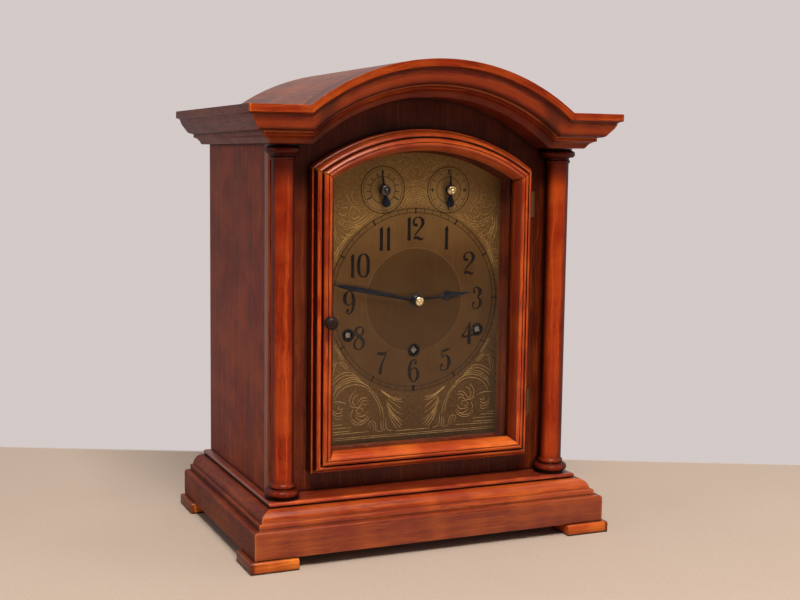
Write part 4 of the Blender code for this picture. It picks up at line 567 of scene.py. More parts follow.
def clock_point(centre, radius, degrees):
    """A point about a centre, its angle clockwise from the top."""
    return polar(centre, radius, 90.0 - degrees)


def rectangle(x1, z1, x2, z2):
    """Four corners in a row round a rectangle."""
    return [(x1, z1), (x2, z1), (x2, z2), (x1, z2)]


def grouped(row, size, unit):
    """A flat row of whole numbers as points, so many to one."""
    return [tuple(value / unit for value in row[k:k + size]) for k in range(0, len(row), size)]


def tenths(*row):
    """Points from a flat row of numbers in tenths of a millimetre."""
    return grouped(row, 2, 10000)


def shares(*row):
    """Points from a flat row of thousandths."""
    return grouped(row, 2, 1000)


def curve_through(points, steps=4):
    """A smooth run through its points, both ends kept."""
    out = []
    for k in range(len(points) - 1):
        near = (points[max(0, k - 1)], points[k], points[k + 1], points[min(len(points) - 1, k + 2)])
        for n in range(steps):
            t = n / steps
            out.append(tuple(
                0.5 * (2.0 * b + (c - a) * t + (2.0 * a - 5.0 * b + 4.0 * c - d) * t * t
                       + (3.0 * b - a - 3.0 * c + d) * t * t * t)
                for a, b, c, d in zip(*near)))
    return out + [tuple(points[-1])]


def arc_points(radius, centre_z, half_angle, steps):
    """Points on an arch from its left end to its right end, as (x, z)."""
    angles = [half_angle * (2.0 * k / steps - 1.0) for k in range(steps + 1)]
    return [(radius * math.sin(a), centre_z + radius * math.cos(a)) for a in angles]


def arched_outline(half_w, bottom_z, radius, centre_z, steps=72):
    """A rectangle with an arched top, as (x, z)."""
    return [(half_w, bottom_z), (-half_w, bottom_z)] + arc_points(
        radius, centre_z, math.asin(half_w / radius), steps)


def cast(outline, centre, angle):
    """Where a ray from a centre leaves an outline."""
    dx, dz = math.cos(angle), math.sin(angle)
    best = 0.0
    for (x1, z1), (x2, z2) in zip(outline, outline[1:] + outline[:1]):
        ex, ez = x2 - x1, z2 - z1
        cross = dx * ez - dz * ex
        if abs(cross) < 1e-12:
            continue
        wx, wz = x1 - centre[0], z1 - centre[1]
        reach = (wx * ez - wz * ex) / cross
        if reach > best and -1e-6 <= (wx * dz - wz * dx) / cross <= 1.0 + 1e-6:
            best = reach
    return (centre[0] + dx * best, centre[1] + dz * best)


def ring_board(shell, outlines, depths, centre):
    """A board with an opening, skinned over outlines, each at its depth."""
    angles = {round(math.atan2(z - centre[1], x - centre[0]), 5) for outline in outlines for x, z in outline}
    rings = []
    for angle in sorted(angles):
        hits = [cast(outline, centre, angle) for outline in outlines]
        rings.append([(x, depth, z) for (x, z), depth in zip(hits, depths)])
    return shell.loft(rings, closed=True)


def mid_rings(first, last, count):
    """Rings between two, so that a long board has points along it."""
    return [[tuple(a + (b - a) * k / count for a, b in zip(p, q)) for p, q in zip(first, last)]
            for k in range(count + 1)]


def rounded(middle, radius, rise, step, count, first=0):
    """Points on a quarter round of a moulding, as (out, height)."""
    angles = [math.radians(step * k) for k in range(first, count + 1)]
    return [(middle[0] + radius * math.cos(a), middle[1] + rise * math.sin(a)) for a in angles]


def plinth_profile():
    """The plinth moulding as (out from the case, height), from the bottom up and back inside."""
    points = [(0.0275, 0.0105), (0.0275, 0.0322), *rounded((0.0250, 0.0325), 0.0025, 0.0025, 15.0, 6, 1)]
    points += tenths(215, 351, 215, 396, 211, 400, 188, 403)
    points += rounded((0.0085, 0.0403), 0.0100, 0.0094, 9.0, 10)
    return points + tenths(30, 499, 30, 105)


def corner_ring(profile, side, shift=0.0):
    """A moulding's section in the mitre plane of a front corner."""
    return [(side * (HALF_W + out - shift), FRONT_Y - out, z) for out, z in profile]


def side_board(profile, side):
    """A moulding along the case's side, mitred at the front."""
    back = [(side * (HALF_W + out), BACK_Y, z) for out, z in profile]
    return Shell().loft(mid_rings(corner_ring(profile, side), back, 8))


def build_plinth(woods):
    """The plinth's three mitred boards, the base board with its bead, and the four feet."""
    profile = plinth_profile()
    front = Shell().loft(mid_rings(corner_ring(profile, -1, GAP), corner_ring(profile, 1, GAP), 12))
    front.dress("plinth_front_board", woods["plinth"], ("plinth_front",), 0.0004)
    for side, label in SIDES:
        node = f"plinth_{label}"
        side_board(profile, side).dress(f"{node}_board", woods["plinth_side"], (node,), 0.0004)
    rings = []
    for out, z in ((0.0027, 0.0400), (0.0027, 0.0502), (0.0062, 0.0502), (0.0071, 0.0506), (0.0075, 0.0513),
                   (0.0075, 0.0529), (0.0071, 0.0536), (0.0062, BASE_TOP)):
        x = HALF_W + out
        rings.append([(u, v, z) for u, v in rectangle(-x, FRONT_Y - out, x, BACK_Y)])
    Shell().loft(rings).dress("base_board_beaded", woods["base"], ("base_board",), 0.0003)
    round_r = 0.0012
    for node in ("foot_front_left", "foot_front_right", "foot_rear_left", "foot_rear_right"):
        low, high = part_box(node)
        centres = rectangle(low[0] + round_r, low[1] + round_r, high[0] - round_r, high[1] - round_r)
        rings = []
        for share, inset in (
                (0.0, 0.0009), (0.07, 0.0003), (0.16, 0.0), (0.84, 0.0), (0.93, 0.0003), (1.0, 0.0010)):
            z = low[2] + (high[2] - low[2]) * share
            rings.append([(*polar(centre, round_r - inset, start + 30.0 * k), z)
                          for centre, start in zip(centres, (180.0, 270.0, 0.0, 90.0)) for k in range(4)])
        Shell().loft(rings).dress(f"{node}_pad", woods["foot"], (node,))


def cornice_profile():
    """The cornice moulding as (out, height over the cornice's bottom), from the top edge down."""
    steps = shares(1000, 1000, 1000, 802, 985, 788, 935, 777, 888, 745)
    steps += curve_through(shares(882, 739, 862, 660, 818, 575, 747, 478, 682, 387, 629, 343, 529, 314))
    steps += shares(485, 308, 485, 208)
    steps += curve_through(shares(435, 195, 374, 164, 315, 107, 265, 28))
    return [(CORNICE_OUT * out, CORNICE_H * up) for out, up in steps + [(0.235, 0.0)]]


def hood_point(out, rise, part):
    """A point on the arched moulding; part runs from -1 at the left foot of the arch to 1."""
    radius = ARCH_R + rise
    angle = math.acos((ARCH_DROP + rise) / radius) * part
    return (radius * math.sin(angle), FRONT_Y - out, ARCH_Z + radius * math.cos(angle))


def build_cornice(woods):
    """The arched front moulding with its shoulders, the side returns and the barrel roof."""
    face = cornice_profile()
    top = CORNICE_Z + CORNICE_H
    behind = FRONT_Y - (PANEL_Y - GAP)
    seat = FRONT_Y - ROOF_FRONT_Y + GAP
    shelf = CORNICE_H - ROOF_T - GAP
    profile = face + [(behind, 0.0), (behind, shelf), (seat, shelf), (seat, CORNICE_H)]
    steps = 96
    arch = [[hood_point(out, z, 2.0 * k / steps - 1.0) for out, z in profile] for k in range(steps + 1)]
    ends = [[(side * (HALF_W + max(out, 0.0) - GAP), FRONT_Y - out, CORNICE_Z + z) for out, z in profile]
            for side in (-1, 1)]
    hood = Shell().loft([ends[0], *arch, ends[1]])
    hood.dress("cornice_hood_moulding", woods["hood"], ("cornice_front",), 0.00045, 30.0)
    blocks = Shell()
    inner_x, front_y, mitre_x = 0.1122, -0.0984, HALF_W - 0.0001
    plan = [(inner_x, front_y), (HALF_W + 0.0084, front_y), (mitre_x, FRONT_Y - 0.0002),
            (mitre_x, PANEL_Y - GAP), (inner_x, PANEL_Y - GAP)]
    for side in (-1, 1):
        blocks.loft([[(side * x, y, top - drop) for x, y in plan] for drop in (0.0081, 0.0001)])
    blocks.dress("cornice_shoulder_blocks", woods["return"], (), 0.0004)
    for side, label in SIDES:
        board = side_board([(out, CORNICE_Z + z) for out, z in face] + [(GAP, CORNICE_Z), (GAP, top)], side)
        xs = sorted((side * (HALF_W + 0.0001), side * 0.1120))
        board.box((xs[0], PANEL_Y, top - SHOULDER_T), (xs[1], BACK_Y - GAP, top - GAP))
        board.dress(f"cornice_{label}_return", woods["return"], (f"cornice_{label}",), 0.00045, 30.0)
    rise = top + 2.0 * GAP - ARCH_Z
    inner = ROOF_R - ROOF_T
    outline = arc_points(ROOF_R, ARCH_Z, math.acos(rise / ROOF_R), 96)
    outline += arc_points(inner, ARCH_Z, math.acos(rise / inner), 96)[::-1]
    depths = (ROOF_FRONT_Y, -0.06, -0.02, 0.02, 0.06, 0.10, BACK_Y)
    roof = Shell().loft([[(x, y, z) for x, z in outline] for y in depths])
    roof.dress("roof_bent_board", woods["roof"], ("roof_board",), 0.0003, 30.0)


def head_outline(half_w, bottom_z):
    """The front board's outline, under the shoulders and the roof, as (x, z)."""
    roof_in = ROOF_R - ROOF_T - GAP
    neck_x = SHOULDER_X - 0.0033 - GAP
    shelf = CORNICE_Z + CORNICE_H - SHOULDER_T - GAP
    return [(half_w, bottom_z), (-half_w, bottom_z), (-half_w, shelf), (-neck_x, shelf),
            *arc_points(roof_in, ARCH_Z, math.asin(neck_x / roof_in), 72), (neck_x, shelf), (half_w, shelf)]


def build_panel(woods):
    """The front board with its flared dial opening, and the two sides of the case."""
    outer = head_outline(HALF_W, BASE_TOP + GAP)
    holes = []
    for grow in (0.0, 0.85 * OPEN_FLARE, OPEN_FLARE):
        holes.append(arched_outline(OPEN_HALF_W + grow, OPEN_LOW - grow, DOOR_R - OPEN_INSET + grow, DOOR_Z))
    depths = (PANEL_Y, PANEL_BACK_Y, PANEL_BACK_Y, PANEL_Y + 0.0014, PANEL_Y)
    board = ring_board(Shell(), (outer, outer, *holes), depths, (0.0, 0.24))
    board.dress("front_board", woods["panel"], ("front_panel",), 0.0003)
    strips = Shell()
    for side in (-1, 1):
        for out, into, forward in ((0.0002, 0.0028, 0.0048), (0.0027, 0.0075, 0.0020)):
            xs = sorted((side * (HALF_W - out), side * (HALF_W - into)))
            strips.box((xs[0], PANEL_Y - forward, BASE_TOP + GAP), (xs[1], PANEL_Y + 0.0002, CORNICE_Z - GAP))
    strips.dress("front_board_edge_strips", woods["strip"], (), 0.0003)
    for _, label in SIDES:
        low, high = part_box(f"side_{label}")
        ends = [[(x, y, z) for x, z in rectangle(low[0], low[2], high[0], high[2])] for y in (low[1], high[1])]
        board = Shell().loft(mid_rings(*ends, 8))
        board.dress(f"side_{label}_board", woods["side"], (f"side_{label}",), 0.0004)


def build_columns(woods):
    """The two turned columns: ringed bases and capitals on slightly tapered shafts."""
    low, high = BASE_TOP + GAP, CORNICE_Z - GAP
    foot = 0.0142
    ring = tenths(0, 0, 127, 0, 127, 14, 129, 19)
    ring += curve_through(tenths(133, 20, 150, 28, 158, 50, 151, 71, 136, 82), 5)
    base = ring + tenths(112, 86) + curve_through(tenths(110, 89, 117, 101, 117, 117, 110, 129))
    base += tenths(105, 132, 102, 136) + [(COLUMN_R, foot)]
    capital = ring + tenths(104, 86, 102, 104) + curve_through(tenths(106, 107, 113, 117, 110, 130))
    capital += tenths(104, 134, 101, 138) + [(COLUMN_R - COLUMN_TAPER, foot)]
    length = high - low - 2.0 * foot
    shaft = [(COLUMN_R - COLUMN_TAPER * k / 8, low + foot + length * k / 8) for k in range(1, 8)]
    profile = [(r, low + z) for r, z in base] + shaft + [(r, high - z) for r, z in reversed(capital)]
    for side, label in SIDES:
        column = Shell().lathe(profile, (side * COLUMN_X, COLUMN_Y), 64, upright=True)
        column.verts = [(x, min(y, PANEL_Y - GAP), z) for x, y, z in column.verts]
        column.dress(f"column_{label}_turned", woods["column"], (f"column_{label}",), 0.0, 50.0)


def door_profile():
    """The door frame's section as (inward from the outer edge, forward of the door's back)."""
    face = curve_through(shares(0, 0, 26, 92, 77, 143), 3)
    face += curve_through(shares(98, 118, 129, 303, 155, 487, 196, 622, 268, 723, 335, 731, 366, 672), 3)
    face += shares(392, 597, 417, 664)
    face += curve_through(shares(443, 866, 505, 958, 560, 988, 605, 985), 2)
    face += shares(628, 925, 650, 990)
    face += curve_through(shares(675, 1000, 735, 972, 783, 916), 2) + shares(840, 790, 1000, 330)
    points = [(DOOR_W * inward, DOOR_EDGE + DOOR_MOULD * forward) for inward, forward in face]
    return [(0.0, 0.0), *points, (DOOR_W, REBATE_LIP), (REBATE_W, REBATE_LIP), (REBATE_W, 0.0)]


def door_low_ring(profile, side, shift=0.0):
    """The door section in the mitre at a lower corner."""
    return [(side * (DOOR_HALF_W - inward - shift), DOOR_BACK - forward, DOOR_LOW + inward)
            for inward, forward in profile]


def door_arch_ring(profile, part, drop=0.0):
    """The door section in the arched head; part runs from -1 at the left corner to 1."""
    ring = []
    for inward, forward in profile:
        radius = DOOR_R - inward
        angle = math.asin((DOOR_HALF_W - inward) / radius) * part
        ring.append((radius * math.sin(angle), DOOR_BACK - forward, DOOR_Z + radius * math.cos(angle) - drop))
    return ring


def build_door(woods, glass, dark):
    """The moulded door frame, its pane, and the turned pull."""
    profile = door_profile()
    rail = Shell().loft(mid_rings(door_low_ring(profile, -1, GAP), door_low_ring(profile, 1, GAP), 8))
    rail.dress("door_rail_low", woods["rail"], ("door_rail_bottom",), 0.0002, 34.0, "front_door")
    inset = 1.0 - GAP / (DOOR_R * math.asin(DOOR_HALF_W / DOOR_R))
    steps = 80
    head = Shell().loft([door_arch_ring(profile, (2.0 * k / steps - 1.0) * inset) for k in range(steps + 1)])
    head.dress("door_head_arched", woods["head"], ("door_rail_top",), 0.0002, 34.0, "front_door")
    for side, label in SIDES:
        stile = Shell().loft(mid_rings(door_low_ring(profile, side), door_arch_ring(profile, side, GAP), 8))
        node = f"door_stile_{label}"
        stile.dress(f"{node}_moulded", woods["stile"], (node,), 0.0002, 34.0, "front_door")
    edge = REBATE_W + GAP
    near = DOOR_BACK - REBATE_LIP + GAP
    outline = arched_outline(DOOR_HALF_W - edge, DOOR_LOW + edge, DOOR_R - edge, DOOR_Z)
    pane = Shell().prism(outline, near, near + 0.002)
    pane.dress("door_pane", glass, ("door_glass",), body="front_door", slot="glass")
    shape = shares(0, 0, 700, 0, 720, 30, 700, 90)
    shape += curve_through(shares(550, 120, 420, 210, 400, 320, 560, 400, 800, 470, 970, 580, 1000, 680, 950,
                                  810, 800, 910, 550, 965, 280, 995, 0, 1000))
    seat = DOOR_BACK - DOOR_EDGE - DOOR_MOULD - GAP
    pull = Shell().lathe([(PULL_R * r, seat - PULL_LENGTH * a) for r, a in shape], PULL_AT, 40)
    pull.dress("door_pull_turned", dark, ("door_knob",), 0.0, 50.0, "front_door", "ebonised_wood")


# The numerals in thousandths of their height: for each stroke a row of x, z and width, point after point
STROKES = {
    "0": ((205, 500, 120, 190, 750, 115, 125, 920, 75, 0, 985, 30, -125, 920, 60, -190, 750, 105, -205, 500,
          115, -190, 250, 105, -125, 80, 60, 0, 15, 30, 125, 80, 75, 190, 250, 115, 205, 500, 120),),
    "1": ((0, 0, 130, 0, 30, 120, 0, 500, 105, 0, 840, 115, 6, 910, 90, 22, 960, 50, 40, 1000, 12),
         (-85, 865, 12, -50, 885, 45, 0, 930, 50)),
    "2": ((-105, 645, 50, -195, 660, 85, -235, 735, 75, -230, 830, 60, -165, 935, 35, -50, 985, 26, 75, 945, 70,
          160, 820, 118, 150, 660, 100, 40, 490, 55, -105, 320, 40, -185, 165, 28, -225, 75, 18),
         (-240, 50, 16, -165, 82, 55, -85, 112, 88, 15, 62, 88, 115, 30, 62, 185, 95, 16)),
    "3": ((-125, 740, 30, -155, 870, 38, -60, 970, 30, 70, 925, 75, 150, 790, 120, 105, 640, 85, 5, 545, 28),
         (10, 535, 26, 120, 450, 65, 165, 285, 122, 105, 110, 72, -45, 15, 30, -180, 80, 32, -205, 225, 30)),
    "4": ((80, 0, 130, 80, 50, 125, 80, 550, 110, 85, 860, 105, 100, 940, 60, 118, 1000, 12),
         (60, 930, 20, -30, 720, 28, -140, 500, 45, -225, 385, 85, -265, 350, 20),
         (-265, 355, 20, -150, 335, 60, 60, 365, 56, 240, 400, 55, 330, 360, 16)),
    "5": ((-165, 925, 16, -60, 890, 75, 70, 945, 85, 215, 965, 16), (-145, 880, 22, -125, 580, 30),
         (-125, 590, 22, 15, 700, 32, 140, 580, 105, 180, 380, 125, 140, 185, 92, 20, 35, 32, -130, 25, 30,
          -205, 135, 32, -195, 250, 40)),
    "6": ((90, 850, 40, 115, 925, 30, 30, 985, 30, -95, 910, 55, -165, 720, 95, -185, 470, 122, -150, 220, 100,
          -60, 40, 40, 60, 40, 40, 175, 200, 105, 190, 420, 112, 105, 590, 50, 0, 620, 28, -110, 520, 22),),
    "7": ((-215, 860, 16, -130, 925, 85, 0, 900, 110, 125, 915, 85, 215, 995, 16),
         (205, 965, 18, 135, 760, 30, 45, 540, 48, -25, 320, 90, -50, 140, 125, -50, 20, 85)),
    "8": ((155, 900, 30, 70, 985, 32, -80, 935, 62, -145, 800, 100, -85, 655, 115, 45, 535, 115, 165, 400, 115,
          190, 220, 95, 105, 60, 42, -35, 12, 30, -160, 80, 52, -205, 240, 72, -155, 400, 50, -40, 520, 30, 90,
          620, 30, 170, 750, 60, 165, 880, 50),),
}
# Their ball ends: x, z and radius
BALLS = {
    "2": (-125, 645, 72), "3": (-130, 755, 60, -160, 275, 62), "5": (-145, 270, 62), "6": (75, 840, 66),
}
# The 9 is the 6 turned upside down
STROKES["9"] = [[(-v, 1000 - v, v)[k % 3] for k, v in enumerate(row)] for row in STROKES["6"]]
BALLS["9"] = (-75, 160, 66)
SPACING = {10: (-0.265, 0.225), 11: (-0.165, 0.165), 12: (-0.300, 0.165)}
NUDGE = {1: -0.0006, 4: -0.0008, 8: 0.0012, 11: 0.0020}

# The engraved scrolls of the dial's right half, which the left half mirrors, in tenths of a millimetre about the
# middle of the case: rows of x and z, point after point
LOWER_SCROLLS = (
    (434, 1385, 482, 1434, 550, 1461, 620, 1464, 697, 1440, 755, 1392, 790, 1329),
    (434, 1412, 474, 1453, 543, 1487, 612, 1496, 704, 1471, 780, 1416, 806, 1364),
    (454, 1442, 509, 1476, 577, 1523, 646, 1532, 724, 1502, 794, 1441),
    (444, 1428, 494, 1466, 562, 1506, 632, 1514, 714, 1486, 790, 1426), (529, 1507, 577, 1542, 625, 1577),
    (600, 1548, 675, 1556, 750, 1526, 806, 1476), (625, 1582, 700, 1580, 764, 1552, 816, 1508),
    (658, 1622, 686, 1656, 723, 1688), (676, 1612, 712, 1650, 750, 1682),
    (769, 1683, 788, 1644, 804, 1580, 823, 1516), (792, 1688, 810, 1646, 828, 1590, 842, 1530),
    (331, 1402, 270, 1359, 216, 1325, 169, 1313, 115, 1312),
    (318, 1381, 264, 1341, 217, 1306, 170, 1284, 106, 1276),
    (326, 1391, 267, 1350, 214, 1316, 170, 1299, 122, 1296), (258, 1310, 210, 1275, 164, 1241, 126, 1214),
    (271, 1296, 225, 1237, 178, 1190, 118, 1157), (265, 1272, 239, 1224, 199, 1164, 112, 1095),
    (272, 1266, 248, 1214, 206, 1152, 128, 1084), (259, 1247, 226, 1187, 173, 1115, 106, 1045),
    (254, 1204, 214, 1136, 160, 1064, 124, 1030), (248, 1174, 226, 1124, 190, 1060, 156, 1022),
    (441, 1399, 401, 1351, 367, 1290, 341, 1229, 332, 1154),
    (426, 1406, 382, 1354, 344, 1286, 312, 1210, 300, 1130), (275, 1128, 276, 1058, 256, 1019, 202, 1007),
    (300, 1110, 302, 1052, 284, 1016), (323, 1102, 324, 1048, 306, 1016), (373, 1026, 338, 1009, 297, 1015),
    (379, 1026, 378, 1076, 405, 1111, 440, 1106, 450, 1077, 429, 1050),
    (396, 1028, 399, 1066, 416, 1088, 430, 1078), (446, 1153, 474, 1113, 537, 1086, 593, 1098, 634, 1140),
    (459, 1170, 486, 1130, 538, 1106, 582, 1114, 616, 1150), (487, 1132, 520, 1125, 557, 1139, 585, 1169),
    (470, 1334, 511, 1338, 547, 1310, 582, 1264), (464, 1306, 502, 1310, 536, 1284),
    (471, 1271, 513, 1278, 555, 1253, 611, 1256, 652, 1278),
    (507, 1208, 520, 1240, 554, 1244, 576, 1216, 552, 1190, 528, 1200),
    (459, 1210, 487, 1174, 536, 1166, 586, 1184), (602, 1228, 628, 1196, 622, 1162),
    (584, 1262, 608, 1302, 594, 1350, 550, 1378), (618, 1270, 640, 1316, 626, 1366, 588, 1404),
    (673, 1290, 708, 1306, 757, 1316, 846, 1313), (702, 1256, 723, 1240, 751, 1253, 743, 1279),
    (709, 1224, 745, 1205, 787, 1219, 804, 1250), (707, 1192, 746, 1177, 788, 1193, 809, 1218),
    (711, 1164, 746, 1151, 788, 1169), (790, 1122, 866, 1120), (712, 1099, 866, 1096),
    (629, 1066, 699, 1068, 866, 1066), (636, 1034, 866, 1032), (0, 1004, 180, 1002), (450, 1016, 866, 1010),
    (0, 972, 866, 972), (0, 956, 866, 956),
)
UPPER_SCROLLS = (
    (423, 3022, 471, 2980, 546, 2929, 627, 2909, 708, 2924, 774, 2966, 824, 3016),
    (446, 3032, 492, 2988, 556, 2948, 627, 2929, 700, 2942, 768, 2980, 820, 3040),
    (503, 3022, 558, 2976, 626, 2952, 693, 2963, 761, 2998, 806, 3052),
    (557, 3010, 605, 2991, 652, 3009, 671, 3048),
    (566, 3046, 584, 3086, 620, 3100, 650, 3076, 636, 3042, 604, 3040), (670, 3099, 711, 3087, 765, 3093),
    (697, 3123, 723, 3147, 764, 3147, 778, 3117, 758, 3099), (662, 3159, 688, 3195, 708, 3213),
    (580, 3124, 618, 3156, 638, 3204, 624, 3254), (614, 3112, 652, 3138, 676, 3186, 672, 3244),
    (806, 3066, 830, 3120, 822, 3182, 782, 3224), (782, 3062, 804, 3114, 798, 3166, 762, 3204),
    (686, 3028, 726, 3020, 766, 3042), (802, 2990, 799, 2917, 764, 2851, 717, 2821, 670, 2816),
    (826, 2996, 824, 2914, 796, 2846, 752, 2806), (849, 3000, 846, 2910, 824, 2810, 798, 2736),
    (823, 2946, 811, 2875, 779, 2784, 768, 2700), (817, 2917, 778, 2845, 752, 2785, 747, 2724),
    (677, 2810, 718, 2785, 739, 2755), (650, 2834, 694, 2852, 736, 2886),
    (539, 2920, 625, 2859, 694, 2784, 754, 2704, 804, 2606, 838, 2504),
    (556, 2932, 644, 2869, 712, 2796, 772, 2712, 822, 2614, 856, 2510), (794, 2684, 830, 2696, 868, 2688),
    (806, 2650, 840, 2660, 868, 2654), (822, 2610, 868, 2616), (832, 2576, 868, 2582),
)
CENTRE_SCROLLS = (
    (0, 3334, 37, 3338, 76, 3350, 114, 3382, 147, 3398), (0, 3316, 48, 3316, 102, 3306, 116, 3292),
    (0, 3298, 52, 3296, 108, 3286), (0, 3214, 28, 3214, 84, 3197, 127, 3151, 145, 3106),
    (0, 3194, 24, 3193, 69, 3176, 106, 3139, 124, 3100), (0, 3174, 22, 3172, 59, 3156, 92, 3122, 104, 3096),
    (0, 3154, 20, 3152, 49, 3138, 76, 3110), (0, 3268, 32, 3262, 80, 3246, 114, 3220, 130, 3192),
    (0, 3242, 30, 3239, 74, 3224, 110, 3198), (22, 3376, 56, 3406, 64, 3450, 32, 3484, 0, 3492),
    (0, 3464, 26, 3456, 39, 3430, 24, 3404, 0, 3396), (94, 3398, 128, 3438, 132, 3486, 102, 3522),
    (74, 3414, 102, 3450, 100, 3490, 72, 3516), (146, 3430, 184, 3460, 230, 3478, 284, 3486),
    (134, 3534, 182, 3504, 240, 3500, 304, 3508),
)


def draw_digit(shell, digit, centre, height):
    """One numeral as raised black strokes of changing width, with its ball ends."""
    def spot(x, z):
        return (centre[0] + 1.08 * x * height, centre[1] + (z - 0.5) * height)
    for row in STROKES[digit]:
        stroke = grouped(row, 3, 1000)
        smooth = curve_through(stroke, 5) if len(stroke) > 2 else stroke
        widths = [(1.25 * w + 0.018) * height for _, _, w in smooth]
        shell.ribbon([spot(x, z) for x, z, _ in smooth], MARK_LOW, MARK_HIGH, widths, 0.9)
    for x, z, radius in grouped(BALLS.get(digit, ()), 3, 1000):
        shell.prism(circle(spot(x, z), radius * height, 16), MARK_LOW - 0.00001, MARK_HIGH)


def circle_band(shell, centre, radius, width, low, steps):
    """A thin raised circle."""
    inner, outer, lift = radius - width / 2.0, radius + width / 2.0, 0.2 * width
    section = [(outer, MARK_HIGH), (outer - lift, low), (inner + lift, low), (inner, MARK_HIGH)]
    shell.collar(centre, section, steps)


def radial_bar(shell, centre, degrees, inner, outer, width, low=MARK_LOW):
    """A straight mark across a ring, its angle clockwise from the top."""
    shell.ribbon([clock_point(centre, r, degrees) for r in (inner, outer)], low, MARK_HIGH, width, 0.9)


def build_dial_marks(black):
    """The numerals, the minute ring with its marks, and the two small rings with plain ticks."""
    marks = Shell()
    middle = (0.0, DIAL_Z)
    for hour in range(1, 13):
        a = math.radians(90.0 - 30.0 * hour)
        x, z = 0.0652 * math.cos(a) + NUDGE.get(hour, 0.0), DIAL_Z + 0.0666 * math.sin(a)
        for digit, shift in zip(str(hour), SPACING.get(hour, (0.0,))):
            draw_digit(marks, digit, (x + shift * NUMERAL_H, z), NUMERAL_H)
    marks.dress("dial_numerals", black, slot="dial_brass")
    rings = Shell()
    thin = MARK_LOW + 0.00004
    for radius in (0.0852, 0.0812):
        circle_band(rings, middle, radius, 0.00070, thin, 180)
    for minute in range(60):
        if minute % 5:
            radial_bar(rings, middle, 6.0 * minute, 0.0813, 0.0851, 0.00045, thin)
        else:
            radial_bar(rings, middle, 6.0 * minute, 0.0804, 0.0858, 0.0030 if minute == 30 else 0.0014)
    rings.dress("dial_minute_ring", black, slot="dial_brass")
    small = Shell()
    for centre in SUBDIALS:
        for radius, width, steps in ((SUBDIAL_R, 0.0009, 96), (0.0190, 0.0005, 96), (0.0122, 0.0007, 72)):
            circle_band(small, centre, radius, width, MARK_LOW + 0.0001, steps)
    for k in range(-5, 6):
        outer, width = (0.0160, 0.0006) if k % 5 else (0.0180, 0.0010)
        radial_bar(small, SUBDIALS[0], 24.0 * k, 0.0126, outer, width)
    for k in range(12):
        radial_bar(small, SUBDIALS[1], 30.0 * k, 0.0150, 0.0184, 0.0005 if k % 3 else 0.0011)
    for degrees, digit in ((-90.0, "1"), (0.0, "2"), (90.0, "3")):
        draw_digit(small, digit, clock_point(SUBDIALS[1], 0.0165, degrees), 0.0042)
    small.dress("dial_small_rings", black, slot="dial_brass")


def build_engraving(gold):
    """The bright cut lines of the scrolls, the hatched bands and the stippled patches."""
    cut = Shell()
    for rows, width in ((LOWER_SCROLLS, 0.00050), (UPPER_SCROLLS, 0.00046), (CENTRE_SCROLLS, 0.00046)):
        for row in rows:
            smooth = curve_through(grouped(row, 2, 10), 5)
            count = len(smooth) - 1
            widths = [width * (0.35 + 0.65 * math.sin(math.pi * min(1.0, 0.12 + 0.88 * k / count)) ** 0.5)
                      for k in range(count + 1)]
            for side in (-1, 1):
                cut.ribbon([(side * x * MM, z * MM) for x, z in smooth], CUT_LOW, MARK_HIGH, widths, 0.3)
    for side in (-1, 1):
        for k in range(18):
            a = math.radians((22.0 if k < 9 else 324.0) + 1.15 * (k % 9))
            c, s = side * math.cos(a), math.sin(a)
            cut.ribbon([(r * c, DIAL_Z + r * s) for r in (0.0862, 0.0898)], CUT_LOW, MARK_HIGH, 0.0004, 0.3)
    cut.dress("dial_engraving", gold, slot="dial_brass")
    dots = Shell()
    wide, narrow = 0.00038, 0.2 * 0.00038
    for side in (-1, 1):
        for row in range(5):
            for k in range(7):
                x, z = polar((0.0, SUBDIALS[0][1]), 0.0236 + 0.0013 * row, 28.0 + 5.2 * k + 2.6 * (row % 2))
                x = side * (SUBDIALS[1][0] - x)
                dots.loft([[(u, y, v) for u, v in rectangle(x - half, z - half, x + half, z + half)]
                           for half, y in ((wide, MARK_HIGH), (narrow, CUT_LOW))])
    dots.dress("dial_stipple", gold, slot="dial_brass")


def section(depth, *row):
    """(radius, depth) points from a flat row in tenths of a millimetre: the radius, and how far before a depth."""
    return [(radius, depth - out) for radius, out in tenths(*row)]


def blade(shell, centre, degrees, halves, near, reach=1.0, top=0.35):
    """A hand's blade with a ridge along its middle, from (half width, share of its reach) pairs."""
    smooth = curve_through([(w, r * reach) for w, r in halves], 5)
    path = [clock_point(centre, r, degrees) for _, r in smooth]
    shell.ribbon(path, near, near + HAND_T, [2.0 * max(w, 0.00012) for w, _ in smooth], top)


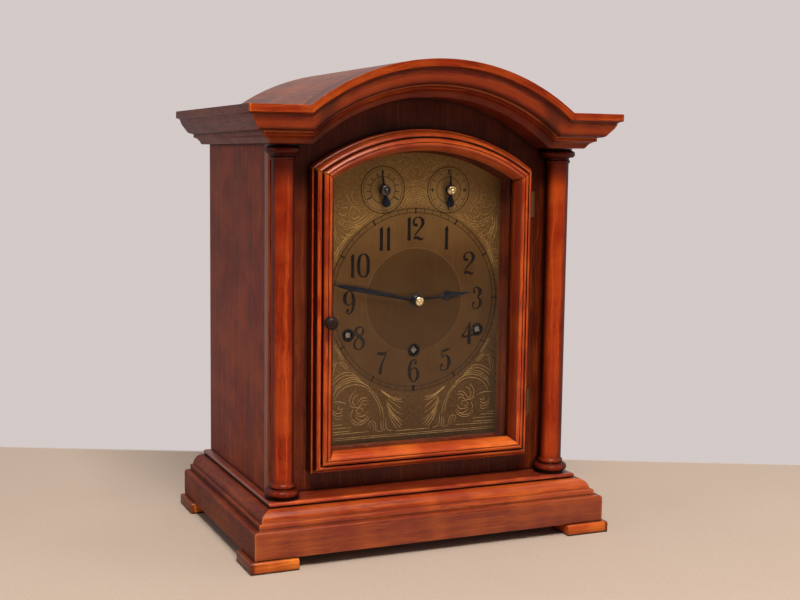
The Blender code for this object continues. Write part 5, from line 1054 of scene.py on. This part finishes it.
def build_hands(blued, brass, steel):
    """The hands with their collets, the round nut, and the two small pointers."""
    middle = (0.0, DIAL_Z)
    near = DIAL_Y - 0.0042
    hour = Shell()
    stem = ((0.0014, 0.0042 / HOUR_REACH), (0.0012, 0.16), (0.0011, 0.36), (0.0013, 0.46))
    leaf = ((0.0010, 0.45), (0.0030, 0.485), (0.0045, 0.53), (0.0042, 0.57), (0.0028, 0.64), (0.0018, 0.74),
            (0.0010, 0.87), (0.0002, 1.0))
    for halves in (stem, leaf):
        blade(hour, middle, 84.0, halves, near, HOUR_REACH)
    hour.collar(middle, section(near, 38, -8, 58, -8, 58, -2, 55, 0, 40, 0, 38, -2))
    hour.dress("hour_hand_blued", blued, ("hour_hand",), 0.0, 30.0, "hour_pipe", "blued_steel")
    near = DIAL_Y - 0.0074
    minute = Shell()
    halves = ((0.0015, 0.0030 / MINUTE_REACH), (0.0014, 0.12), (0.0016, 0.26), (0.0019, 0.46), (0.0023, 0.64),
              (0.0023, 0.76), (0.0017, 0.90), (0.0002, 1.0))
    blade(minute, middle, 281.5, halves, near, MINUTE_REACH)
    minute.collar(middle, section(near, 16, -8, 52, -8, 52, 6, 47, 10, 18, 10, 16, 6))
    minute.dress("minute_hand_blued", blued, ("minute_hand",), 0.0, 30.0, "minute_arbor", "blued_steel")
    back = DIAL_Y - 0.0086
    nut = Shell()
    nut.collar(middle, section(back, 14, 0, 40, 0, 42, 3, 42, 34, 39, 39, 32, 42, 27, 40, 25, 26, 14, 26))
    nut.lathe(section(back, 0, 2, 12, 2, 12, 40, 8, 44, 0, 45), middle, 24)
    nut.dress("hand_nut_round", brass, ("hand_nut",), 0.0, 40.0, "minute_arbor", "brass")
    near = DIAL_Y - 0.0050
    front = near - 0.0009
    for label, centre, hub, lean, grow in (
            ("left", SUBDIALS[0], steel, -9.0, 1.28), ("right", SUBDIALS[1], brass, 0.0, 1.12)):
        pointer = Shell()
        halves = ((0.0016, 0.0024), (0.0013, 0.35 * SUB_REACH), (0.0009, 0.65 * SUB_REACH), (0.0002, SUB_REACH))
        blade(pointer, centre, lean, halves, near)
        halves = tenths(13, 24, 16, 50, 26, 78, 38, 106, 42, 125, 37, 142, 23, 153, 4, 158)
        blade(pointer, centre, 180.0 + lean, halves, near, top=0.5)
        pointer.collar(centre, section(near, 9, -12, 52, -12, 52, 2, 48, 6, 9, 6))
        node, body = f"sub_hand_{label}", f"{label}_pointer"
        pointer.dress(f"{node}_pointer", blued, (node,), 0.0, 30.0, body, "blued_steel")
        dome = [(grow * r, y) for r, y in section(front, 36, 0, 39, 3, 39, 16, 36, 24, 30, 29, 25, 28, 21, 14)]
        cap = Shell().lathe([*section(DIAL_Y, 0, -30, 13, -30), (0.0013, front), *dome,
                             *section(front, 13, 14, 12, 36, 8, 40, 0, 41)], centre, 36)
        cap.dress(f"{node}_hub", hub, (), 0.0, 40.0, body, "brass")


def build_winders(steel, black):
    """The winding arbors with their squares in the dial, the black rims round the holes, and black discs behind
    the dial that are painted shade in the holes.
    """
    cups = Shell()
    for name, centre, turn in zip(("strike", "going", "chime"), WINDING, (0.0, 45.0, 15.0)):
        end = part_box(f"{name}_arbor")[1][1]
        arbor = Shell().lathe([
            *section(PLATE_Y, 0, 28, 45, 28), *section(end, 45, 33, 32, 30, 32, 4, 26, 0, 0, 0)], centre, 32)
        teeth = [polar(centre, *((0.0110, 10.0 * k + 8.4) if k % 2 else (0.0094, 10.0 * k))) for k in range(36)]
        arbor.prism(teeth, PLATE_Y - 0.0017, PLATE_Y - 0.0003)
        rings = []
        for half, y in (*section(PLATE_Y, 25, 20), *section(DIAL_Y, 25, -10, 22, -5, 12, -5, 8, -11)):
            rings.append([(u, y, v) for u, v in (
                polar(centre, 1.414 * half, 45.0 + 90.0 * k + turn) for k in range(4))])
        arbor.loft(rings)
        arbor.dress(f"{name}_arbor_square", steel, (f"{name}_arbor",), 0.0, 30.0, f"{name}_winder", "steel")
        cups.collar(centre, section(DIAL_Y, 50, -12, 52, 3, 60, 3, 63, 0, 63, -4, 52, -4), 36)
        # Black discs behind the dial: painted shade, so that the winding holes look dark
        cups.collar(centre, section(DIAL_Y, 39, -50, 86, -50, 86, -58, 39, -58), 36)
    cups.dress("winding_cups", black, slot="iron")


bpy.context.scene.view_settings.view_transform = "Standard"
set_camera()
set_studio()
add_floor()

# Each wood: its grain's way, seed, brightness, coat, gloss, figure, mirror and wear, then what is its own
WOODS = {name: mahogany(f"mahogany_{name}", *row, **own) for name, (row, own) in {
    # plinth: its flat front darker below the moulding (dims), painted shade under the lit ovolo
    "plinth": (("x", 1.0, 1.46, 0.45, 0.30, 0.45, 0.35, 0.25), dict(
        dims=(("z", 0.0355, 0.0345, 0.42),), tint=(0.98, 1.12, 0.85), coat_gloss=0.30)),
    # plinth_side: a darker copy of the plinth's front moulding, as painted shade on the sides
    "plinth_side": (("y", 2.0, 0.60, 0.0, 0.44, 0.6, 0.15, 0.4), {}),
    # base: the ledge behind the bead darker (dims), a painted dark reflection
    "base": (("x", 3.0, 1.55, 0.30, 0.36, 1.0, 0.4), dict(dims=(("y", -0.0955, -0.0935, 0.74),), coat_gloss=0.28)),
    # foot: the outer side faces darker (dims), painted shade
    "foot": (("x", 4.0, 1.85, 0.06, 0.40, 0.45, 0.24, 0.5), dict(
        dims=(("x", 0.1735, 0.1755, 0.8),), tint=(1.0, 1.55, 1.2))),
    # hood: its set-back lower moulding darker (dims), painted shade under the overhang; its levels are lines of
    # painted shade and painted highlight
    "hood": ((ARCH_Z, 5.0, 1.12, 0.12, 0.32, 0.45, 0.14, 0.6), dict(dims=(("y", -0.1056, -0.1048, 0.50),), levels=(
        (0.0234, 0.0022, 0.62, (0.030, 0.004, 0.0015)), (0.0112, 0.0020, 0.70, (0.026, 0.0035, 0.0014)),
        (0.0164, 0.0034, 0.38, (0.640, 0.090, 0.010)), (0.0097, 0.0006, 0.75, (0.850, 0.260, 0.100)),
        (0.0318, 0.0001, 0.80, (0.040, 0.009, 0.006))))),
    # return: its top face darker (dims); also a darker copy of the hood's moulding, as painted shade on the sides
    "return": (("y", 6.0, 0.60, 0.02, 0.40, 0.5, 0.15), dict(dims=(("z", 0.3958, 0.3964, 0.8),))),
    "roof": (("y", 7.0, 0.6, 0.12, 0.38, 0.8, 0.46), dict(coat_gloss=0.4, tint=(1.0, 1.3, 1.5))),
    # panel: its top darker under the cornice (dims), painted shade; strip paints light on its side edges
    "panel": (("z", 8.0, 0.42, 0.05, 0.40, 0.7), dict(
        hollow_reach=0.006, strip=True, dims=(("z", 0.300, 0.345, 0.40),))),
    "side": (("z", 9.0, 0.84, 0.0, 0.48, 0.6, 0.15), {}),
    "strip": (("z", 14.0, 0.95, 0.0, 0.46, 0.5, 0.1), dict(hollow_reach=0.0015)),
    # column: darker at its base (dims), and at the capital as painted shade under the cornice; its rim darkening
    # is painted shade at its sides
    "column": (("z", 10.0, 1.12, 0.05, 0.30, 0.55, 0.12), dict(
        dims=(("z", 0.074, 0.064, 0.55), ("z", 0.328, 0.345, 0.80)), hollow_reach=0.006, rim_shade=0.85,
        turn=(0.10, 0.55), tint=(1.0, 0.82, 0.85))),
    "rail": (("x", 11.0, 1.86, 0.45, 0.30, 0.5, 0.2, 0.7), dict(tint=(1.0, 1.25, 1.2), coat_gloss=0.28)),
    "head": ((DOOR_Z, 12.0, 1.52, 0.45, 0.30, 0.5, 0.2, 0.7), dict(tint=(1.0, 1.15, 1.1), coat_gloss=0.28)),
    # stile: its inner faces darker (dims) and its groove lines darkened, both painted shade
    "stile": (("z", 13.0, 1.65, 0.18, 0.30, 0.7, 0.2, 0.4), dict(dims=(("x", 0.0943, 0.0937, 0.80),), groove_shades=(
        (0.1096, 0.0006, 0.9), (0.1070, 0.0013, 0.95), (0.1019, 0.0012, 0.95), (0.0972, 0.0005, 0.7)))),
}.items()}
EVEN = (60.0, 60.0, 60.0)
GLASS = clear_glass("door_glass_clear")
BRASS = metal("brass_lacquered", (0.72, 0.50, 0.20), 0.26)
STEEL = metal("steel_polished", (0.52, 0.51, 0.50), 0.26)
TARNISHED = metal("brass_tarnished", (0.22, 0.12, 0.05), 0.45, wear=0.6)
IRON = metal("iron_black", (0.09, 0.088, 0.086), 0.48, EVEN)
BLUED = mottled("steel_blued", 130.0, 0.35, 0.7, ((0.010, 0.011, 0.016), (0.020, 0.026, 0.045)), metallic=0.8,
                roughness=0.32)
DARK = mottled("ebonised_pull", 600.0, 0.35, 0.75, ((0.010, 0.0035, 0.0028), (0.030, 0.010, 0.007)), 0.08,
               roughness=0.50, specular_ior_level=0.22, coat_weight=0.03, coat_roughness=0.25)
INNER = mahogany("inner_wood", "z", 21.0, 0.5, 0.02, 0.5)
WAX = mottled("black_wax", 900.0, 0.55, 0.8, ((0.006, 0.004, 0.0035), (0.024, 0.014, 0.009)), roughness=0.55,
              specular_ior_level=0.12)
CUT_GOLD = mottled("engraved_gold", 160.0, 0.35, 0.65, ((0.48, 0.27, 0.07), (1.0, 0.68, 0.22)), metallic=0.45,
                   roughness=0.36)

build_plinth(WOODS)
build_cornice(WOODS)
build_panel(WOODS)
build_columns(WOODS)
build_door(WOODS, GLASS, DARK)
build_dial_marks(WAX)
build_engraving(CUT_GOLD)
build_hands(BLUED, metal("brass_bright", (1.0, 0.84, 0.50), 0.20), metal("steel_dark", (0.16, 0.15, 0.14), 0.26))
build_winders(metal("steel_grey", (0.34, 0.33, 0.32), 0.30), metal("cup_black", (0.012, 0.011, 0.010), 0.7, EVEN))

FINISHES = {
    "mahogany": INNER, "dark_wood": INNER, "brass": BRASS, "dial_brass": dial_metal("dial_plate_brass"),
    "steel": STEEL, "blued_steel": BLUED, "iron": IRON, "glass": GLASS, "ebonised_wood": DARK,
}
for name, node in NODES.items():
    for slot in node.material_slots:
        kind = slot.material.name.split(".")[0] if slot.material else "steel"
        slot.material = TARNISHED if name.startswith("hinge_") else FINISHES.get(kind, STEEL)
